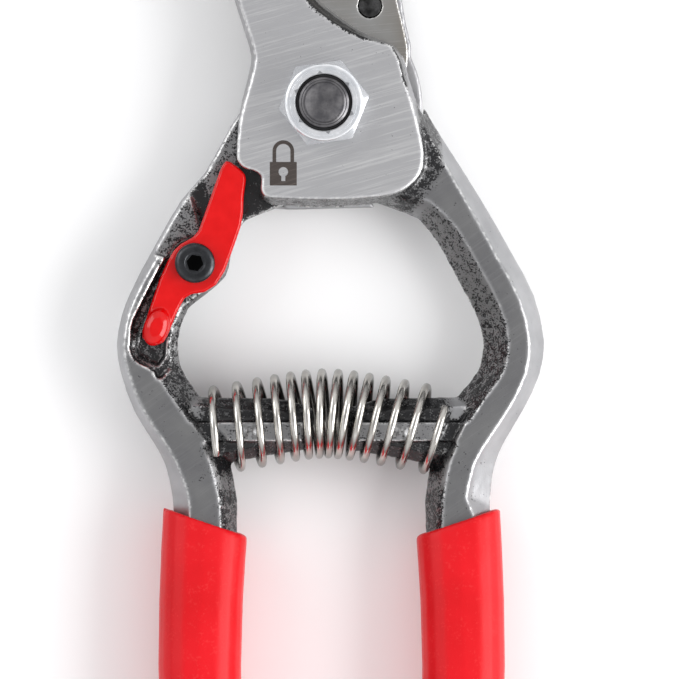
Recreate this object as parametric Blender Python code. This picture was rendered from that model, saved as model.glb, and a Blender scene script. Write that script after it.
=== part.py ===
"""Bypass pruner: two forged arms on one pivot bolt, a bolted-on blade, a coil spring and a lock lever.

Sizes are in millimetres and become metres where a mesh is made. The tool lies on its back:
+Z is the nut side, +Y runs to the tips, and the pivot's axis is X = Y = 0. The bolt head's flat
back is Z = 0. Everything is at rest: jaws closed, lock lever just clear of the hook.
"""

import math

import bmesh
import bpy
from mathutils import Matrix, Vector

MM = 0.001

# Stack along the pivot, from the back to the front
GAP = 0.3  # between faces that bear on each other
BOLT_HEAD_HEIGHT = 3.0
PIVOT_PLATE = 4.5  # the blade handle's flat plate
BLADE_THICKNESS = 3.0
HOOK_PLATE = 4.8
NUT_HEIGHT = 6.5
BOLT_STICK_OUT = 1.0
PLATE_BACK = BOLT_HEAD_HEIGHT + GAP
PLATE_FRONT = PLATE_BACK + PIVOT_PLATE
BLADE_BACK = PLATE_FRONT + GAP
BLADE_FRONT = BLADE_BACK + BLADE_THICKNESS
HOOK_BACK = BLADE_FRONT + GAP
HOOK_FRONT = HOOK_BACK + HOOK_PLATE
NUT_BACK = HOOK_FRONT + GAP
NUT_FRONT = NUT_BACK + NUT_HEIGHT
BOLT_END = NUT_FRONT + BOLT_STICK_OUT

# Pivot hardware
BOLT_DIAMETER = 9.5
BOLT_HEAD_DIAMETER = 16.4
BOLT_HOLE_CLEARANCE = 0.3  # on the diameter
NECK_CLEARANCE = 0.5  # across the square neck
NUT_ACROSS_FLATS = 15.0
NUT_COLLAR_DIAMETER = 14.7
NUT_RECESS_CLEARANCE = 0.8  # on the diameter, round the bolt's end
NUT_TURN = math.radians(8)
NOTCH_COUNT = 6
NOTCH_WIDTH = 1.1
NOTCH_DEPTH = 0.5
NOTCH_REACH = 1.2  # beyond the recess round the bolt's end
BOLT_RADIUS = BOLT_DIAMETER / 2
BOLT_HOLE_RADIUS = (BOLT_DIAMETER + BOLT_HOLE_CLEARANCE) / 2
NECK_SIDE = BOLT_DIAMETER

# Forged arms
ARM_MIDDLE = HOOK_BACK - 2.1  # height of the parting line
ARM_HALF_DEPTH = 5.3
ARM_BEVEL = 1.2  # height and width of the strip beside the flat face
TANG_HALF_DEPTH = 7.3  # deepest place, inside the grip

# Jaws
JAW_REACH = 57.6  # pivot to the tip of the hook
NECK_Y = 19.6  # where both jaws leave the pivot area
LIP_RADIUS = 19.75  # corner of the hook plate that the lock lever catches
HEEL_RADIUS = 19.0  # inner end of the right arm's back half
HEEL_ANGLE = math.radians(-63.2)  # its end face, which stops the closing
STOP_CLEARANCE = 0.3
SHOULDER_RADIUS = 22.0  # outer corner of the plate's shoulder, which the heel meets
BLADE_TANG_RADIUS = 13.5
BLADE_TIP_INSET = 0.8  # the hook's tip reaches this much past the blade's
PLATE_EDGE_STEP = 0.3  # the narrow chamfer round the hook plate's face
BLADE_EDGE = 0.3  # thickness left at the cutting edge
RIVET_PLACE = (8.74, 18.5)
RIVET_DIAMETER = 4.2
RIVET_HEAD_DIAMETER = 6.8
RIVET_HEAD_HEIGHT = 0.8
RIVET_CLEARANCE = 0.3  # on the diameter

# Lock lever and its screw
SCREW_PLACE = (-24.51, -30.40)
LEVER_RISE = 0.5  # underside above the hook plate's back
LEVER_THICKNESS = 2.8
LEVER_REST_TURN = math.radians(5)  # from the drawn outline to the unlatched rest
LEVER_LOCK_TURN = math.radians(-2.5)  # from the drawn outline to full lock
LEVER_CLEARANCE = 0.35
LEVER_RIM = 0.5  # width of the rounded edge
THUMB_PAD_PLACE = (-32.9, -41.9)
THUMB_PAD_SIZE = (4.7, 7.4)
THUMB_PAD_HEIGHT = 1.7
THUMB_PAD_TURN = math.radians(-24)
SCREW_DIAMETER = 4.6
SCREW_HOLE_CLEARANCE = 0.6  # on the diameter
SCREW_HEAD_DIAMETER = 7.6
SCREW_HEAD_HEIGHT = 2.5
SCREW_SOCKET = 2.5  # across flats
WASHER_DIAMETER = 8.8
WASHER_THICKNESS = 0.35
WASHER_WAVE = 0.2
SHELF_DROP = 0.1  # shelf under the lever, below the hook plate's back
RECESS_DROP = 1.0
TAB_POCKET_DROP = 1.4
SPOT_FACE_DROP = 0.9
LEVER_BACK = HOOK_BACK + LEVER_RISE
LEVER_FRONT = LEVER_BACK + LEVER_THICKNESS
SPOT_FACE = HOOK_BACK - SPOT_FACE_DROP

# Return spring, bowed upwards between the two arms
SPRING_DIAMETER = 17.2
WIRE_DIAMETER = 1.5
SPRING_TURNS = 13.2
SPRING_SPAN = 43.4
SPRING_TOP = (0.4, -59.0)  # highest point of its axis
SPRING_SLOPE = 0.2  # fall of the axis towards each end
SPRING_CROWN = 1.0  # rounding of the axis at its top
SPRING_START_TURN = math.radians(125)
SPRING_UNEVENNESS = 0.27  # how much wider the end turns are spaced
COIL_RADIUS = (SPRING_DIAMETER - WIRE_DIAMETER) / 2
SPRING_BORE_RADIUS = COIL_RADIUS - WIRE_DIAMETER / 2

# Horns that the spring sits on: a drafted web with a rib along its middle, front and back
HORN_CLEARANCE = 0.5  # to the spring's bore
HORN_TIP_GAP = 6.4  # between the two horns
HORN_MIDDLE = 1.2  # X of that gap's middle
HORN_ROOT = 28.5  # from that middle to the end inside the arm
HORN_TIP_TALL = 4.3  # from the ribs' line up to the tip's upper corner
HORN_SHOULDER = 7.3  # from the tip back to where the web has its full height
WEB_HALF_THICKNESS = 3.0
WEB_DRAFT = 2.3
WEB_LAND = 0.4  # flat edge between the two drafted sides
RIB_HALF_HEIGHT = 1.8
RIB_HALF_THICKNESS = 5.2
BUMP_RADIUS = 1.35
BUMP_FROM_END = 7.3  # from the spring's end to the round bump on the front rib

# Grips
GRIP_TOP = -79.6
GRIP_LENGTH = 86.0
GRIP_WALL = 1.5
GRIP_FIT = 0.3
GRIP_WIDTH = 16.0
GRIP_END_WIDTH = 12.6
GRIP_BOW = 1.8
GRIP_TOE_IN = 4.5
GRIP_LIP_SLANT = 5.4
LEFT_GRIP_X = -22.6
RIGHT_GRIP_X = 25.5



def jaw_y(share):
    """Y at a share of the way from the neck to the hook's tip."""
    return NECK_Y + (JAW_REACH - NECK_Y) * share


# The hook jaw and front plate, as stretches that meet in corners: x, y, and how far the side
# wall leans out on the way to the plate's back
HOOK_OUTLINE = (
    ((12.73, 10.87, 0.5), (8.49, 11.97, 1.0), (5.13, 13.2, 1.5), (-0.84, NECK_Y - 2.58, 2.0),
     (-3.42, NECK_Y, 2.1), (-6.7, jaw_y(0.155), 2.1), (-7.6, jaw_y(0.326), 2.0),
     (-5.6, jaw_y(0.563), 1.7), (-0.8, jaw_y(0.789), 1.2), (6.0, JAW_REACH, 0.4)),
    ((6.0, JAW_REACH, 0.4), (-1.9, jaw_y(0.947), 0.9), (-9.3, jaw_y(0.8), 0.9),
     (-14.8, jaw_y(0.579), 0.9), (-17.3, jaw_y(0.339), 0.9), (-17.5, jaw_y(0.155), 0.9),
     (-16.2, NECK_Y, 0.9), (-13.76, 11.97, 0.9), (-13.0, 8.55, 0.9), (-13.5, 5.57, 0.9),
     (-14.55, 1.75, 0.8), (-15.8, -3.0, 0.5), (-16.3, -7.6, 0.1), (-16.42, -10.4, 0.0)),
    ((-16.42, -10.4, 0.0), (-16.3, -11.15, 0.0), (-15.7, -11.9, 0.0), (-14.44, -12.45, 0.0),
     (-12.73, -12.95, 0.1), (-11.7, -14.1, 0.1), (-11.85, -16.2, 0.4), (-11.2, -17.6, 1.0),
     (-9.31, -17.96, 1.6)),
    ((-9.31, -17.96, 1.6), (0.87, -18.3, 1.6), (9.31, -17.85, 1.4), (13.3, -17.2, 1.0),
     (15.9, -15.9, 0.9), (18.1, -13.5, 0.9), (18.8, -10.6, 0.9), (18.4, -7.0, 0.9),
     (16.6, 0.3, 1.0), (15.0, 4.75, 1.2), (14.1, 8.4, 1.2), (12.73, 10.87, 0.5)),
)
# The cutting blade: x, y, and the width of the ground bevel on its back
BLADE_TIP = (3.0, JAW_REACH - BLADE_TIP_INSET, 0.0)
BLADE_OUTLINE = (
    ((-10.6, 11.0, 0.0), (-11.2, NECK_Y - 4.6, 3.0), (-11.6, NECK_Y, 6.0),
     (-11.9, jaw_y(0.195), 7.0), (-10.9, jaw_y(0.405), 7.0), (-8.0, jaw_y(0.629), 6.0),
     (-3.2, jaw_y(0.832), 4.0), BLADE_TIP),
    (BLADE_TIP, (7.2, jaw_y(0.805), 0.0), (10.2, jaw_y(0.589), 0.0), (12.2, jaw_y(0.353), 0.0),
     (13.4, jaw_y(0.142), 0.0), (13.9, NECK_Y, 0.0), (14.5, NECK_Y - 2.6, 0.0),
     (15.4, NECK_Y - 6.4, 0.0), (16.0, 9.0, 0.0), (15.2, 5.0, 0.0), (13.0, 0.5, 0.0)),
)
# The blade handle's pivot plate and the arm that backs the blade
PLATE_OUTLINE = (
    ((-14.8, -2.0), (-14.0, 2.5), (-12.9, 6.0), (-11.6, 9.5), (-8.2, 14.0), (-4.4, NECK_Y - 1.0),
     (-2.0, jaw_y(0.116)), (0.6, jaw_y(0.274)), (3.6, jaw_y(0.4)), (7.0, jaw_y(0.421))),
    ((7.0, jaw_y(0.421)), (10.6, jaw_y(0.368)), (13.2, jaw_y(0.208)), (14.6, jaw_y(0.037)),
     (15.6, NECK_Y - 4.6), (16.6, 10.8), (16.4, 9.4)),
)
PLATE_BELOW = ((-6.0, -20.2), (-14.6, -19.8), (-20.0, -12.0), (-16.6, -6.0))

# Right arm, from the plate to the grip: outer point, inner point, and how wide the drafted
# sides are outside and inside the flat face
RIGHT_ARM = (
    ((17.0, 3.4), (4.0, -17.0), 2.2, 2.2),
    ((20.3, -3.0), (12.2, -19.8), 2.4, 3.2),
    ((25.0, -10.4), (18.0, -22.2), 2.6, 4.2),
    ((30.74, -19.57), (21.93, -27.3), 2.8, 4.8),
    ((35.9, -28.6), (25.6, -34.3), 2.9, 5.0),
    ((40.0, -36.4), (28.8, -40.4), 2.9, 5.0),
    ((42.0, -45.2), (30.15, -45.6), 2.9, 5.0),
    ((41.1, -51.6), (29.2, -50.8), 2.7, 5.0),
    ((38.0, -58.3), (26.0, -54.8), 2.6, 4.8),
    ((34.6, -64.1), (22.4, -61.2), 3.0, 4.4),
    ((32.6, -68.9), (20.2, -67.9), 4.0, 3.9),
    ((31.9, -74.6), (19.1, -75.6), 4.8, 3.6),
)
LEFT_ARM = (
    ((-13.4, 2.0), (-2.0, -17.0), 2.0, 2.0),
    ((-17.9, -4.4), (-8.6, -19.9), 2.2, 2.6),
    ((-22.6, -13.0), (-15.0, -22.4), 2.2, 2.4),
    ((-27.2, -18.3), (-16.9, -25.8), 2.0, 2.6),
    ((-31.2, -25.2), (-17.7, -29.2), 1.8, 2.9),
    ((-34.5, -31.2), (-18.6, -32.9), 1.6, 3.2),
    ((-36.8, -35.8), (-21.9, -36.0), 1.5, 3.8),
    ((-38.5, -40.2), (-25.6, -38.9), 1.4, 4.6),
    ((-39.5, -46.0), (-27.6, -44.8), 1.4, 5.0),
    ((-38.7, -51.4), (-27.0, -50.4), 1.5, 5.0),
    ((-36.0, -58.9), (-24.0, -55.0), 1.7, 4.8),
    ((-32.4, -64.7), (-20.3, -61.0), 1.9, 4.4),
    ((-30.2, -69.0), (-17.9, -67.4), 2.3, 4.0),
    ((-29.0, -74.6), (-16.4, -75.6), 3.2, 3.6),
)

# The lock lever as it lies a little short of full lock, clockwise from its tip
LEVER_TIP_AND_RIGHT_EDGE = (
    (-17.82, -12.5), (-16.95, -11.55), (-16.07, -11.9), (-15.0, -12.8), (-14.25, -13.55),
    (-13.6, -14.4), (-13.45, -15.4), (-14.2, -18.6), (-14.6, -21.85), (-15.3, -24.4),
    (-17.0, -28.2), (-19.0, -32.4), (-20.9, -34.9), (-23.2, -36.1), (-25.7, -36.25),
    (-27.13, -36.97), (-28.6, -39.2), (-30.91, -43.68), (-31.8, -44.9), (-33.25, -45.4),
)
LEVER_LEFT_EDGE = (
    (-34.8, -44.9), (-35.72, -43.68), (-35.57, -42.22), (-33.84, -38.15), (-31.5, -32.91),
    (-29.75, -29.72), (-28.31, -27.66), (-26.85, -26.51), (-24.53, -25.5), (-23.3, -24.3),
    (-22.0, -21.5), (-20.16, -17.48), (-18.41, -13.6),
)
# Recesses in the front of the left arm, inside and beyond its outline
SHELF_BELOW = ((-36.9, -46.6), (-36.3, -48.4), (-34.9, -49.6), (-33.2, -50.3), (-32.1, -51.3),
               (-31.6, -53.0), (-29.4, -50.6), (-20.0, -50.0), (-10.0, -34.0), (14.0, -30.0),
               (14.0, 12.0), (-22.0, 12.0), (-44.0, -12.0), (-44.0, -28.2), (-32.9, -28.3),
               (-31.6, -28.9))
LOW_RECESS = ((-44.0, -8.0), (-26.4, -16.4), (-25.3, -18.0), (-23.5, -23.4), (-21.0, -24.8),
              (-8.0, -26.5), (14.0, -26.5), (14.0, 12.0), (-22.0, 12.0))
TAB_POCKET = ((-31.0, -35.6), (-32.6, -37.4), (-35.2, -43.4), (-35.9, -46.4), (-35.2, -48.2),
              (-33.4, -49.2), (-31.6, -50.0), (-30.3, -48.4), (-30.1, -44.0), (-29.6, -40.6),
              (-28.9, -37.8), (-29.6, -36.2))


# Points and outlines

def smooth(points, pieces):
    """A smooth line through the points, with that many pieces between each two."""
    knots = [Vector(p) for p in points]
    knots = [2 * knots[0] - knots[1]] + knots + [2 * knots[-1] - knots[-2]]
    line = []
    for before, start, end, after in zip(knots, knots[1:], knots[2:], knots[3:]):
        span = (end - start).length
        leaving = (end - before) * span / (span + (start - before).length)
        arriving = (after - start) * span / (span + (after - end).length)
        for i in range(pieces):
            t = i / pieces
            line.append((2 * t ** 3 - 3 * t ** 2 + 1) * start + (t ** 3 - 2 * t ** 2 + t) * leaving
                        + (3 * t ** 2 - 2 * t ** 3) * end + (t ** 3 - t ** 2) * arriving)
    return line + [knots[-2]]


def outline(stretches, pieces):
    """A closed outline of smooth stretches that meet in corners."""
    points = []
    for stretch in stretches:
        points += smooth(stretch, pieces)[:-1]
    return points


def arc(radius, start, end, count, centre=(0, 0)):
    """Points on a circle, both ends included."""
    angles = [start + (end - start) * i / (count - 1) for i in range(count)]
    return [(centre[0] + radius * math.cos(a), centre[1] + radius * math.sin(a)) for a in angles]


def turned_about(points, centre, angle):
    """The points turned in plan about a centre."""
    middle = Vector(centre)
    return [middle + Matrix.Rotation(angle, 2) @ (Vector(p) - middle) for p in points]


def outward(points):
    """The outward normal at each corner of a closed outline in plan."""
    flat = [Vector(p[:2]) for p in points]
    area = sum(a.x * b.y - b.x * a.y for a, b in zip(flat, flat[1:] + flat[:1]))
    side = 1 if area > 0 else -1
    normals = []
    for before, here, after in zip(flat[-1:] + flat[:-1], flat, flat[1:] + flat[:1]):
        along = (here - before).normalized() + (after - here).normalized()
        normals.append(side * Vector((along.y, -along.x)).normalized())
    return normals


def grown(points, amounts):
    """The outline moved outwards, by one amount or by one for each point."""
    if not isinstance(amounts, list):
        amounts = [amounts] * len(points)
    return [Vector(p[:2]) + n * a for p, n, a in zip(points, outward(points), amounts)]


def at_height(points, z):
    return [(p[0], p[1], z) for p in points]


# Meshes and objects

def material(name, colour, roughness, metallic):
    made = bpy.data.materials.new(name)
    made.use_nodes = True
    shader = made.node_tree.nodes["Principled BSDF"]
    shader.inputs["Base Color"].default_value = (*colour, 1)
    shader.inputs["Roughness"].default_value = roughness
    shader.inputs["Metallic"].default_value = metallic
    made.diffuse_color = (*colour, 1)
    return made


def add_object(name, mesh_data, finish=None, origin=(0, 0, 0), parent=None):
    """An object from a bmesh in metres, with its origin moved to a point in millimetres."""
    place = Vector(origin) * MM
    bmesh.ops.translate(mesh_data, verts=mesh_data.verts, vec=-place)
    mesh = bpy.data.meshes.new(name)
    mesh_data.to_mesh(mesh)
    mesh_data.free()
    obj = bpy.data.objects.new(name, mesh)
    obj.location = place
    bpy.context.scene.collection.objects.link(obj)
    if finish:
        mesh.materials.append(finish)
        mesh.shade_smooth()
        mesh.set_sharp_from_angle(angle=math.radians(35))
    else:
        obj.hide_render = True
        obj.display_type = "WIRE"
    if parent:
        obj.parent = parent
        obj.matrix_parent_inverse = Matrix.Translation(-parent.location)
    return obj


def axis_empty(name, place):
    empty = bpy.data.objects.new(name, None)
    empty.location = Vector(place) * MM
    bpy.context.scene.collection.objects.link(empty)
    return empty


def loft(rings):
    """A closed body through rings of the same number of points, in millimetres."""
    made = bmesh.new()
    loops = [[made.verts.new(Vector(p) * MM) for p in ring] for ring in rings]
    sides = []
    for low, high in zip(loops, loops[1:]):
        for i in range(len(low)):
            j = (i + 1) % len(low)
            sides.append(made.faces.new((low[i], low[j], high[j], high[i])))
    made.faces.new(loops[0][::-1])
    made.faces.new(loops[-1])
    bmesh.ops.triangulate(made, faces=sides)
    bmesh.ops.recalc_face_normals(made, faces=made.faces)
    return made


def prism(points, bottom, top):
    return loft([at_height(points, bottom), at_height(points, top)])


def turned(profile, centre=(0, 0), sides=32, bored=False):
    """The profile of radius and height spun about a vertical axis."""
    made = bmesh.new()
    corners = [made.verts.new(Vector((centre[0] + r, centre[1], z)) * MM) for r, z in profile]
    edges = [made.edges.new(pair) for pair in zip(corners, corners[1:])]
    if bored:
        edges.append(made.edges.new((corners[-1], corners[0])))
    bmesh.ops.spin(made, geom=corners + edges, cent=(centre[0] * MM, centre[1] * MM, 0),
                   axis=(0, 0, 1), angle=2 * math.pi, steps=sides, use_duplicate=False)
    bmesh.ops.remove_doubles(made, verts=made.verts, dist=1e-6)
    bmesh.ops.recalc_face_normals(made, faces=made.faces)
    return made


def polygon(sides, across_flats, turn=0, centre=(0, 0)):
    radius = across_flats / 2 / math.cos(math.pi / sides)
    return arc(radius, turn, turn + 2 * math.pi * (sides - 1) / sides, sides, centre)


def hole(radius, bottom, top, centre=(0, 0), sides=32):
    return prism(polygon(sides, 2 * radius, 0, centre), bottom, top)


def combine(target, operation, name, mesh_data):
    """A Boolean of the target with a hidden helper."""
    modifier = target.modifiers.new(name, "BOOLEAN")
    modifier.operation = operation
    modifier.object = add_object(f"{target.name}_{name}", mesh_data)


# Forged sections

def arm_profile(width, outer_draft, inner_draft, half_depth):
    """Ten corners round a forged arm, as distance from the outer parting line and height."""
    foot = half_depth - ARM_BEVEL
    half = [(0, 0), (outer_draft - ARM_BEVEL / 2, foot), (outer_draft, half_depth),
            (width - inner_draft, half_depth), (width - inner_draft + ARM_BEVEL, foot)]
    back = [(width, 0)] + [(u, -v) for u, v in reversed(half[1:])]
    return half + back


def placed(profile, outer, inner):
    """A section's corners in space, laid from its outer point towards its inner point."""
    start = Vector(outer)
    along = (Vector(inner) - start).normalized()
    return [(*(start + along * u), ARM_MIDDLE + v) for u, v in profile]


def arm_sections(stations, pieces):
    """The arm's sections, and for each its two parting-line points."""
    flat = [(*outer, *inner, outer_draft, inner_draft)
            for outer, inner, outer_draft, inner_draft in stations]
    columns = [smooth([(row[k], row[k + 1], row[k + 2]) for row in flat], pieces) for k in (0, 3)]
    sections = []
    for first, second in zip(*columns):
        outer = (first[0], first[1])
        inner = (first[2], second[0])
        width = (Vector(inner) - Vector(outer)).length
        sections.append((outer, inner, arm_profile(width, second[1], second[2], ARM_HALF_DEPTH)))
    return sections


def grip_centre(side_x, t):
    """Middle of the grip in plan, at a share of its length from the lip."""
    inward = -1 if side_x > 0 else 1
    x = side_x - inward * GRIP_BOW * math.sin(math.pi * t) + inward * GRIP_TOE_IN * t ** 2
    return x, GRIP_TOP - GRIP_LENGTH * t


def grip_station(side_x, t, width):
    """Outer and inner points across the handle, slanted near the lip."""
    x, y = grip_centre(side_x, t)
    outward_sign = 1 if side_x > 0 else -1
    slant = GRIP_LIP_SLANT / 2 * max(0, 1 - t / 0.2)
    return ((x + outward_sign * width / 2, y + slant), (x - outward_sign * width / 2, y - slant))


def depth_at(t):
    """Half the tang's depth: least at the lip, most in the middle of the palm."""
    return ARM_HALF_DEPTH + (TANG_HALF_DEPTH - ARM_HALF_DEPTH) * math.sin(math.pi * min(1, t * 1.15)) ** 0.8


def grip_width_at(t):
    return GRIP_WIDTH - (GRIP_WIDTH - GRIP_END_WIDTH) * t ** 2.5


TANG_SHARES = (0.0, 0.08, 0.18, 0.32, 0.48, 0.64, 0.8, 0.93)


def tang_sections(side_x):
    sections = []
    for t in TANG_SHARES:
        width = grip_width_at(t) - 2 * (GRIP_WALL + GRIP_FIT)
        outer, inner = grip_station(side_x, t, width)
        draft = width * 0.28
        length = (Vector(inner) - Vector(outer)).length
        sections.append((outer, inner, arm_profile(length, draft, draft, depth_at(t))))
    return sections


def arm_body(stations, side_x):
    sections = arm_sections(stations, 2) + tang_sections(side_x)
    return loft([placed(profile, outer, inner) for outer, inner, profile in sections])


def grip_body(name, stations, side_x, parent=None):
    """A vinyl sleeve: an oval outside round the tang's own shape, closed at the bottom."""
    ovals = []
    end_steps = ((1.0, 1.0, 0.0), (1.0, 0.86, 1.8), (1.0, 0.5, 3.0))
    for t, share, drop in [(t, 1.0, 0.0) for t in TANG_SHARES] + list(end_steps):
        width = grip_width_at(t) * share
        outer, inner = grip_station(side_x, t, width)
        depth = (depth_at(t) + GRIP_WALL + GRIP_FIT) * share
        if t > TANG_SHARES[-1]:
            depth = min(depth, (depth_at(TANG_SHARES[-1]) + GRIP_WALL + GRIP_FIT) * share)
        middle = (Vector(outer) + Vector(inner)) / 2
        half = Vector(inner) - middle
        ring = []
        for i in range(20):
            angle = 2 * math.pi * i / 20
            across = math.copysign(abs(math.cos(angle)) ** 0.72, math.cos(angle))
            up = math.copysign(abs(math.sin(angle)) ** 0.72, math.sin(angle))
            flat = middle + half * across
            ring.append((flat.x, flat.y - drop, ARM_MIDDLE + depth * up))
        ovals.append(ring)
    grip = add_object(name, loft(ovals), RED_VINYL, parent=parent)
    inside = arm_sections(stations, 1)[-2:] + tang_sections(side_x)
    last_outer, last_inner, last_profile = inside[-1]
    end = Vector((0, -GRIP_FIT))
    inside[-1] = (Vector(last_outer) + end, Vector(last_inner) + end, last_profile)
    rings = [placed(grown(profile, GRIP_FIT), outer, inner) for outer, inner, profile in inside]
    combine(grip, "DIFFERENCE", "inside", loft(rings))
    return grip


# Spring and horns

def spring_axis(x):
    """A point on the spring's axis, right of its top by x, and the way up from it, in plan."""
    fall = math.hypot(SPRING_SLOPE * x, SPRING_CROWN)
    point = Vector(SPRING_TOP) + Vector((x, SPRING_CROWN - fall))
    return point, Vector((SPRING_SLOPE ** 2 * x / fall, 1)).normalized()


def spring_point(share):
    """Middle of the wire, at a share of the spring's length from its left end."""
    even = 2 * share - 1
    wide = even * (1 - SPRING_UNEVENNESS) + SPRING_UNEVENNESS * even ** 3
    point, up = spring_axis(SPRING_SPAN / 2 * wide)
    turn = SPRING_START_TURN - math.tau * SPRING_TURNS * share
    flat = point + up * (COIL_RADIUS * math.cos(turn))
    return flat.x, flat.y, ARM_MIDDLE + COIL_RADIUS * math.sin(turn)


def rib_y():
    """The horns' ribs lie level, on the spring's axis at its ends."""
    return spring_axis(SPRING_SPAN / 2)[0].y


def web_outline(side):
    """Side view of a horn: nearly level above, and below it follows the spring's bore."""
    room = SPRING_BORE_RADIUS - HORN_CLEARANCE
    tip = HORN_TIP_GAP / 2
    upper = smooth([(HORN_ROOT, rib_y() + room), (tip + HORN_SHOULDER, rib_y() + room - 0.3),
                    (tip + HORN_SHOULDER * 0.4, rib_y() + (room + HORN_TIP_TALL) / 2),
                    (tip, rib_y() + HORN_TIP_TALL)], 2)
    lower = []
    for reach in (tip, tip + HORN_SHOULDER, SPRING_SPAN / 2, HORN_ROOT):
        point, _ = spring_axis(HORN_MIDDLE + side * reach - SPRING_TOP[0])
        lower.append(Vector((reach, point.y - room)))
    return [Vector((HORN_MIDDLE + side * p.x, p.y)) for p in upper + lower]


def add_horn(handle, side):
    """The horn that the spring sits on, as a web, a rib through it and a bump on the front."""
    web = web_outline(side)
    edge = grown(web, -WEB_DRAFT)
    rings = [at_height(edge, ARM_MIDDLE - WEB_HALF_THICKNESS),
             at_height(web, ARM_MIDDLE - WEB_LAND / 2), at_height(web, ARM_MIDDLE + WEB_LAND / 2),
             at_height(edge, ARM_MIDDLE + WEB_HALF_THICKNESS)]
    combine(handle, "UNION", "horn_web", loft(rings))
    tip = HORN_MIDDLE + side * (HORN_TIP_GAP / 2 + WEB_DRAFT * 0.8)
    root = HORN_MIDDLE + side * (HORN_ROOT - 1)
    low = rib_y() - RIB_HALF_HEIGHT
    high = rib_y() + RIB_HALF_HEIGHT
    rib = [(root, low), (tip, low), (tip, high), (root, high)]
    combine(handle, "UNION", "horn_rib",
            prism(rib, ARM_MIDDLE - RIB_HALF_THICKNESS, ARM_MIDDLE + RIB_HALF_THICKNESS))
    bump_x = SPRING_TOP[0] + side * (SPRING_SPAN / 2 - BUMP_FROM_END)
    bump = bmesh.new()
    bmesh.ops.create_uvsphere(bump, u_segments=12, v_segments=8, radius=BUMP_RADIUS * MM)
    middle = Vector((bump_x, rib_y(), ARM_MIDDLE + RIB_HALF_THICKNESS - BUMP_RADIUS / 2))
    bmesh.ops.translate(bump, verts=bump.verts, vec=middle * MM)
    combine(handle, "UNION", "horn_bump", bump)


# Sub-parts

def make_blade_handle():
    handle = add_object("blade_handle", arm_body(LEFT_ARM, LEFT_GRIP_X), FORGED_STEEL)
    high = NUT_FRONT
    lock_edge = turned_about(LEVER_LEFT_EDGE[1:7], SCREW_PLACE, LEVER_LOCK_TURN)
    rim_edge = [p + Vector((-LEVER_CLEARANCE, LEVER_CLEARANCE * 0.4)) for p in lock_edge[:5]]
    shelf = [(p.x, p.y) for p in reversed(rim_edge)] + list(SHELF_BELOW)
    combine(handle, "DIFFERENCE", "lever_shelf", prism(shelf, HOOK_BACK - SHELF_DROP, high))
    combine(handle, "DIFFERENCE", "low_recess", prism(LOW_RECESS, HOOK_BACK - RECESS_DROP, high))
    combine(handle, "DIFFERENCE", "tab_pocket",
            prism(TAB_POCKET, HOOK_BACK - TAB_POCKET_DROP, high))
    combine(handle, "DIFFERENCE", "blade_room",
            hole(BLADE_TANG_RADIUS + 0.8, PLATE_FRONT - GAP, high, sides=40))
    combine(handle, "UNION", "pivot_plate", prism(pivot_plate_outline(), PLATE_BACK, PLATE_FRONT))
    neck = polygon(4, NECK_SIDE + NECK_CLEARANCE, math.pi / 4)
    combine(handle, "DIFFERENCE", "neck_hole", prism(neck, PLATE_BACK - 1, PLATE_FRONT + 1))
    rivet_hole = (RIVET_DIAMETER + RIVET_CLEARANCE) / 2
    combine(handle, "DIFFERENCE", "rivet_hole",
            hole(rivet_hole, PLATE_BACK - 1, PLATE_FRONT + 1, RIVET_PLACE, 20))
    combine(handle, "DIFFERENCE", "spot_face",
            hole(WASHER_DIAMETER / 2 + 0.4, SPOT_FACE, high, SCREW_PLACE, 24))
    screw_hole = (SCREW_DIAMETER + SCREW_HOLE_CLEARANCE) / 2
    combine(handle, "DIFFERENCE", "screw_hole",
            hole(screw_hole, screw_end() - GAP, high, SCREW_PLACE, 20))
    add_horn(handle, -1)
    return handle


def pivot_plate_outline():
    """The plate stays inside the heel's sweep, between the closing and the opening stop."""
    left_and_support = outline(PLATE_OUTLINE, 2) + [PLATE_OUTLINE[-1][-1]]
    clear = HEEL_RADIUS - STOP_CLEARANCE
    stop_turn = STOP_CLEARANCE / HEEL_RADIUS
    stop = HEEL_ANGLE - stop_turn
    sweep = arc(clear, math.radians(27), stop, 16)
    shoulder = [(SHOULDER_RADIUS * math.cos(stop), SHOULDER_RADIUS * math.sin(stop))]
    return left_and_support + sweep + shoulder + list(PLATE_BELOW)


def make_hook_handle(parent):
    handle = add_object("hook_handle", arm_body(RIGHT_ARM, RIGHT_GRIP_X), FORGED_STEEL,
                        parent=parent)
    far = (40 * math.cos(HEEL_ANGLE), 40 * math.sin(HEEL_ANGLE))
    room = arc(HEEL_RADIUS, math.radians(75), HEEL_ANGLE, 24) + [far, (-30, -40), (-30, 40), (10, 40)]
    combine(handle, "DIFFERENCE", "handle_room", prism(room, -1, HOOK_BACK + GAP))
    front = outline(HOOK_OUTLINE, 2)
    draft = [p[2] for p in front]
    rings = [at_height(grown(front, draft), HOOK_BACK),
             at_height(grown(front, PLATE_EDGE_STEP * 0.6), HOOK_FRONT - PLATE_EDGE_STEP),
             at_height(front, HOOK_FRONT)]
    # The lip keeps its radius over the whole thickness, so that the lever passes it.
    for ring in rings:
        for i, (x, y, z) in enumerate(ring):
            reach = math.hypot(x, y)
            if reach > LIP_RADIUS and x < -11 and -13.5 < y < 0:
                ring[i] = (x * LIP_RADIUS / reach, y * LIP_RADIUS / reach, z)
    combine(handle, "UNION", "front_plate", loft(rings))
    combine(handle, "DIFFERENCE", "bolt_hole",
            hole(BOLT_HOLE_RADIUS, HOOK_BACK - 1, HOOK_FRONT + 1))
    add_horn(handle, 1)
    return handle


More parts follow.
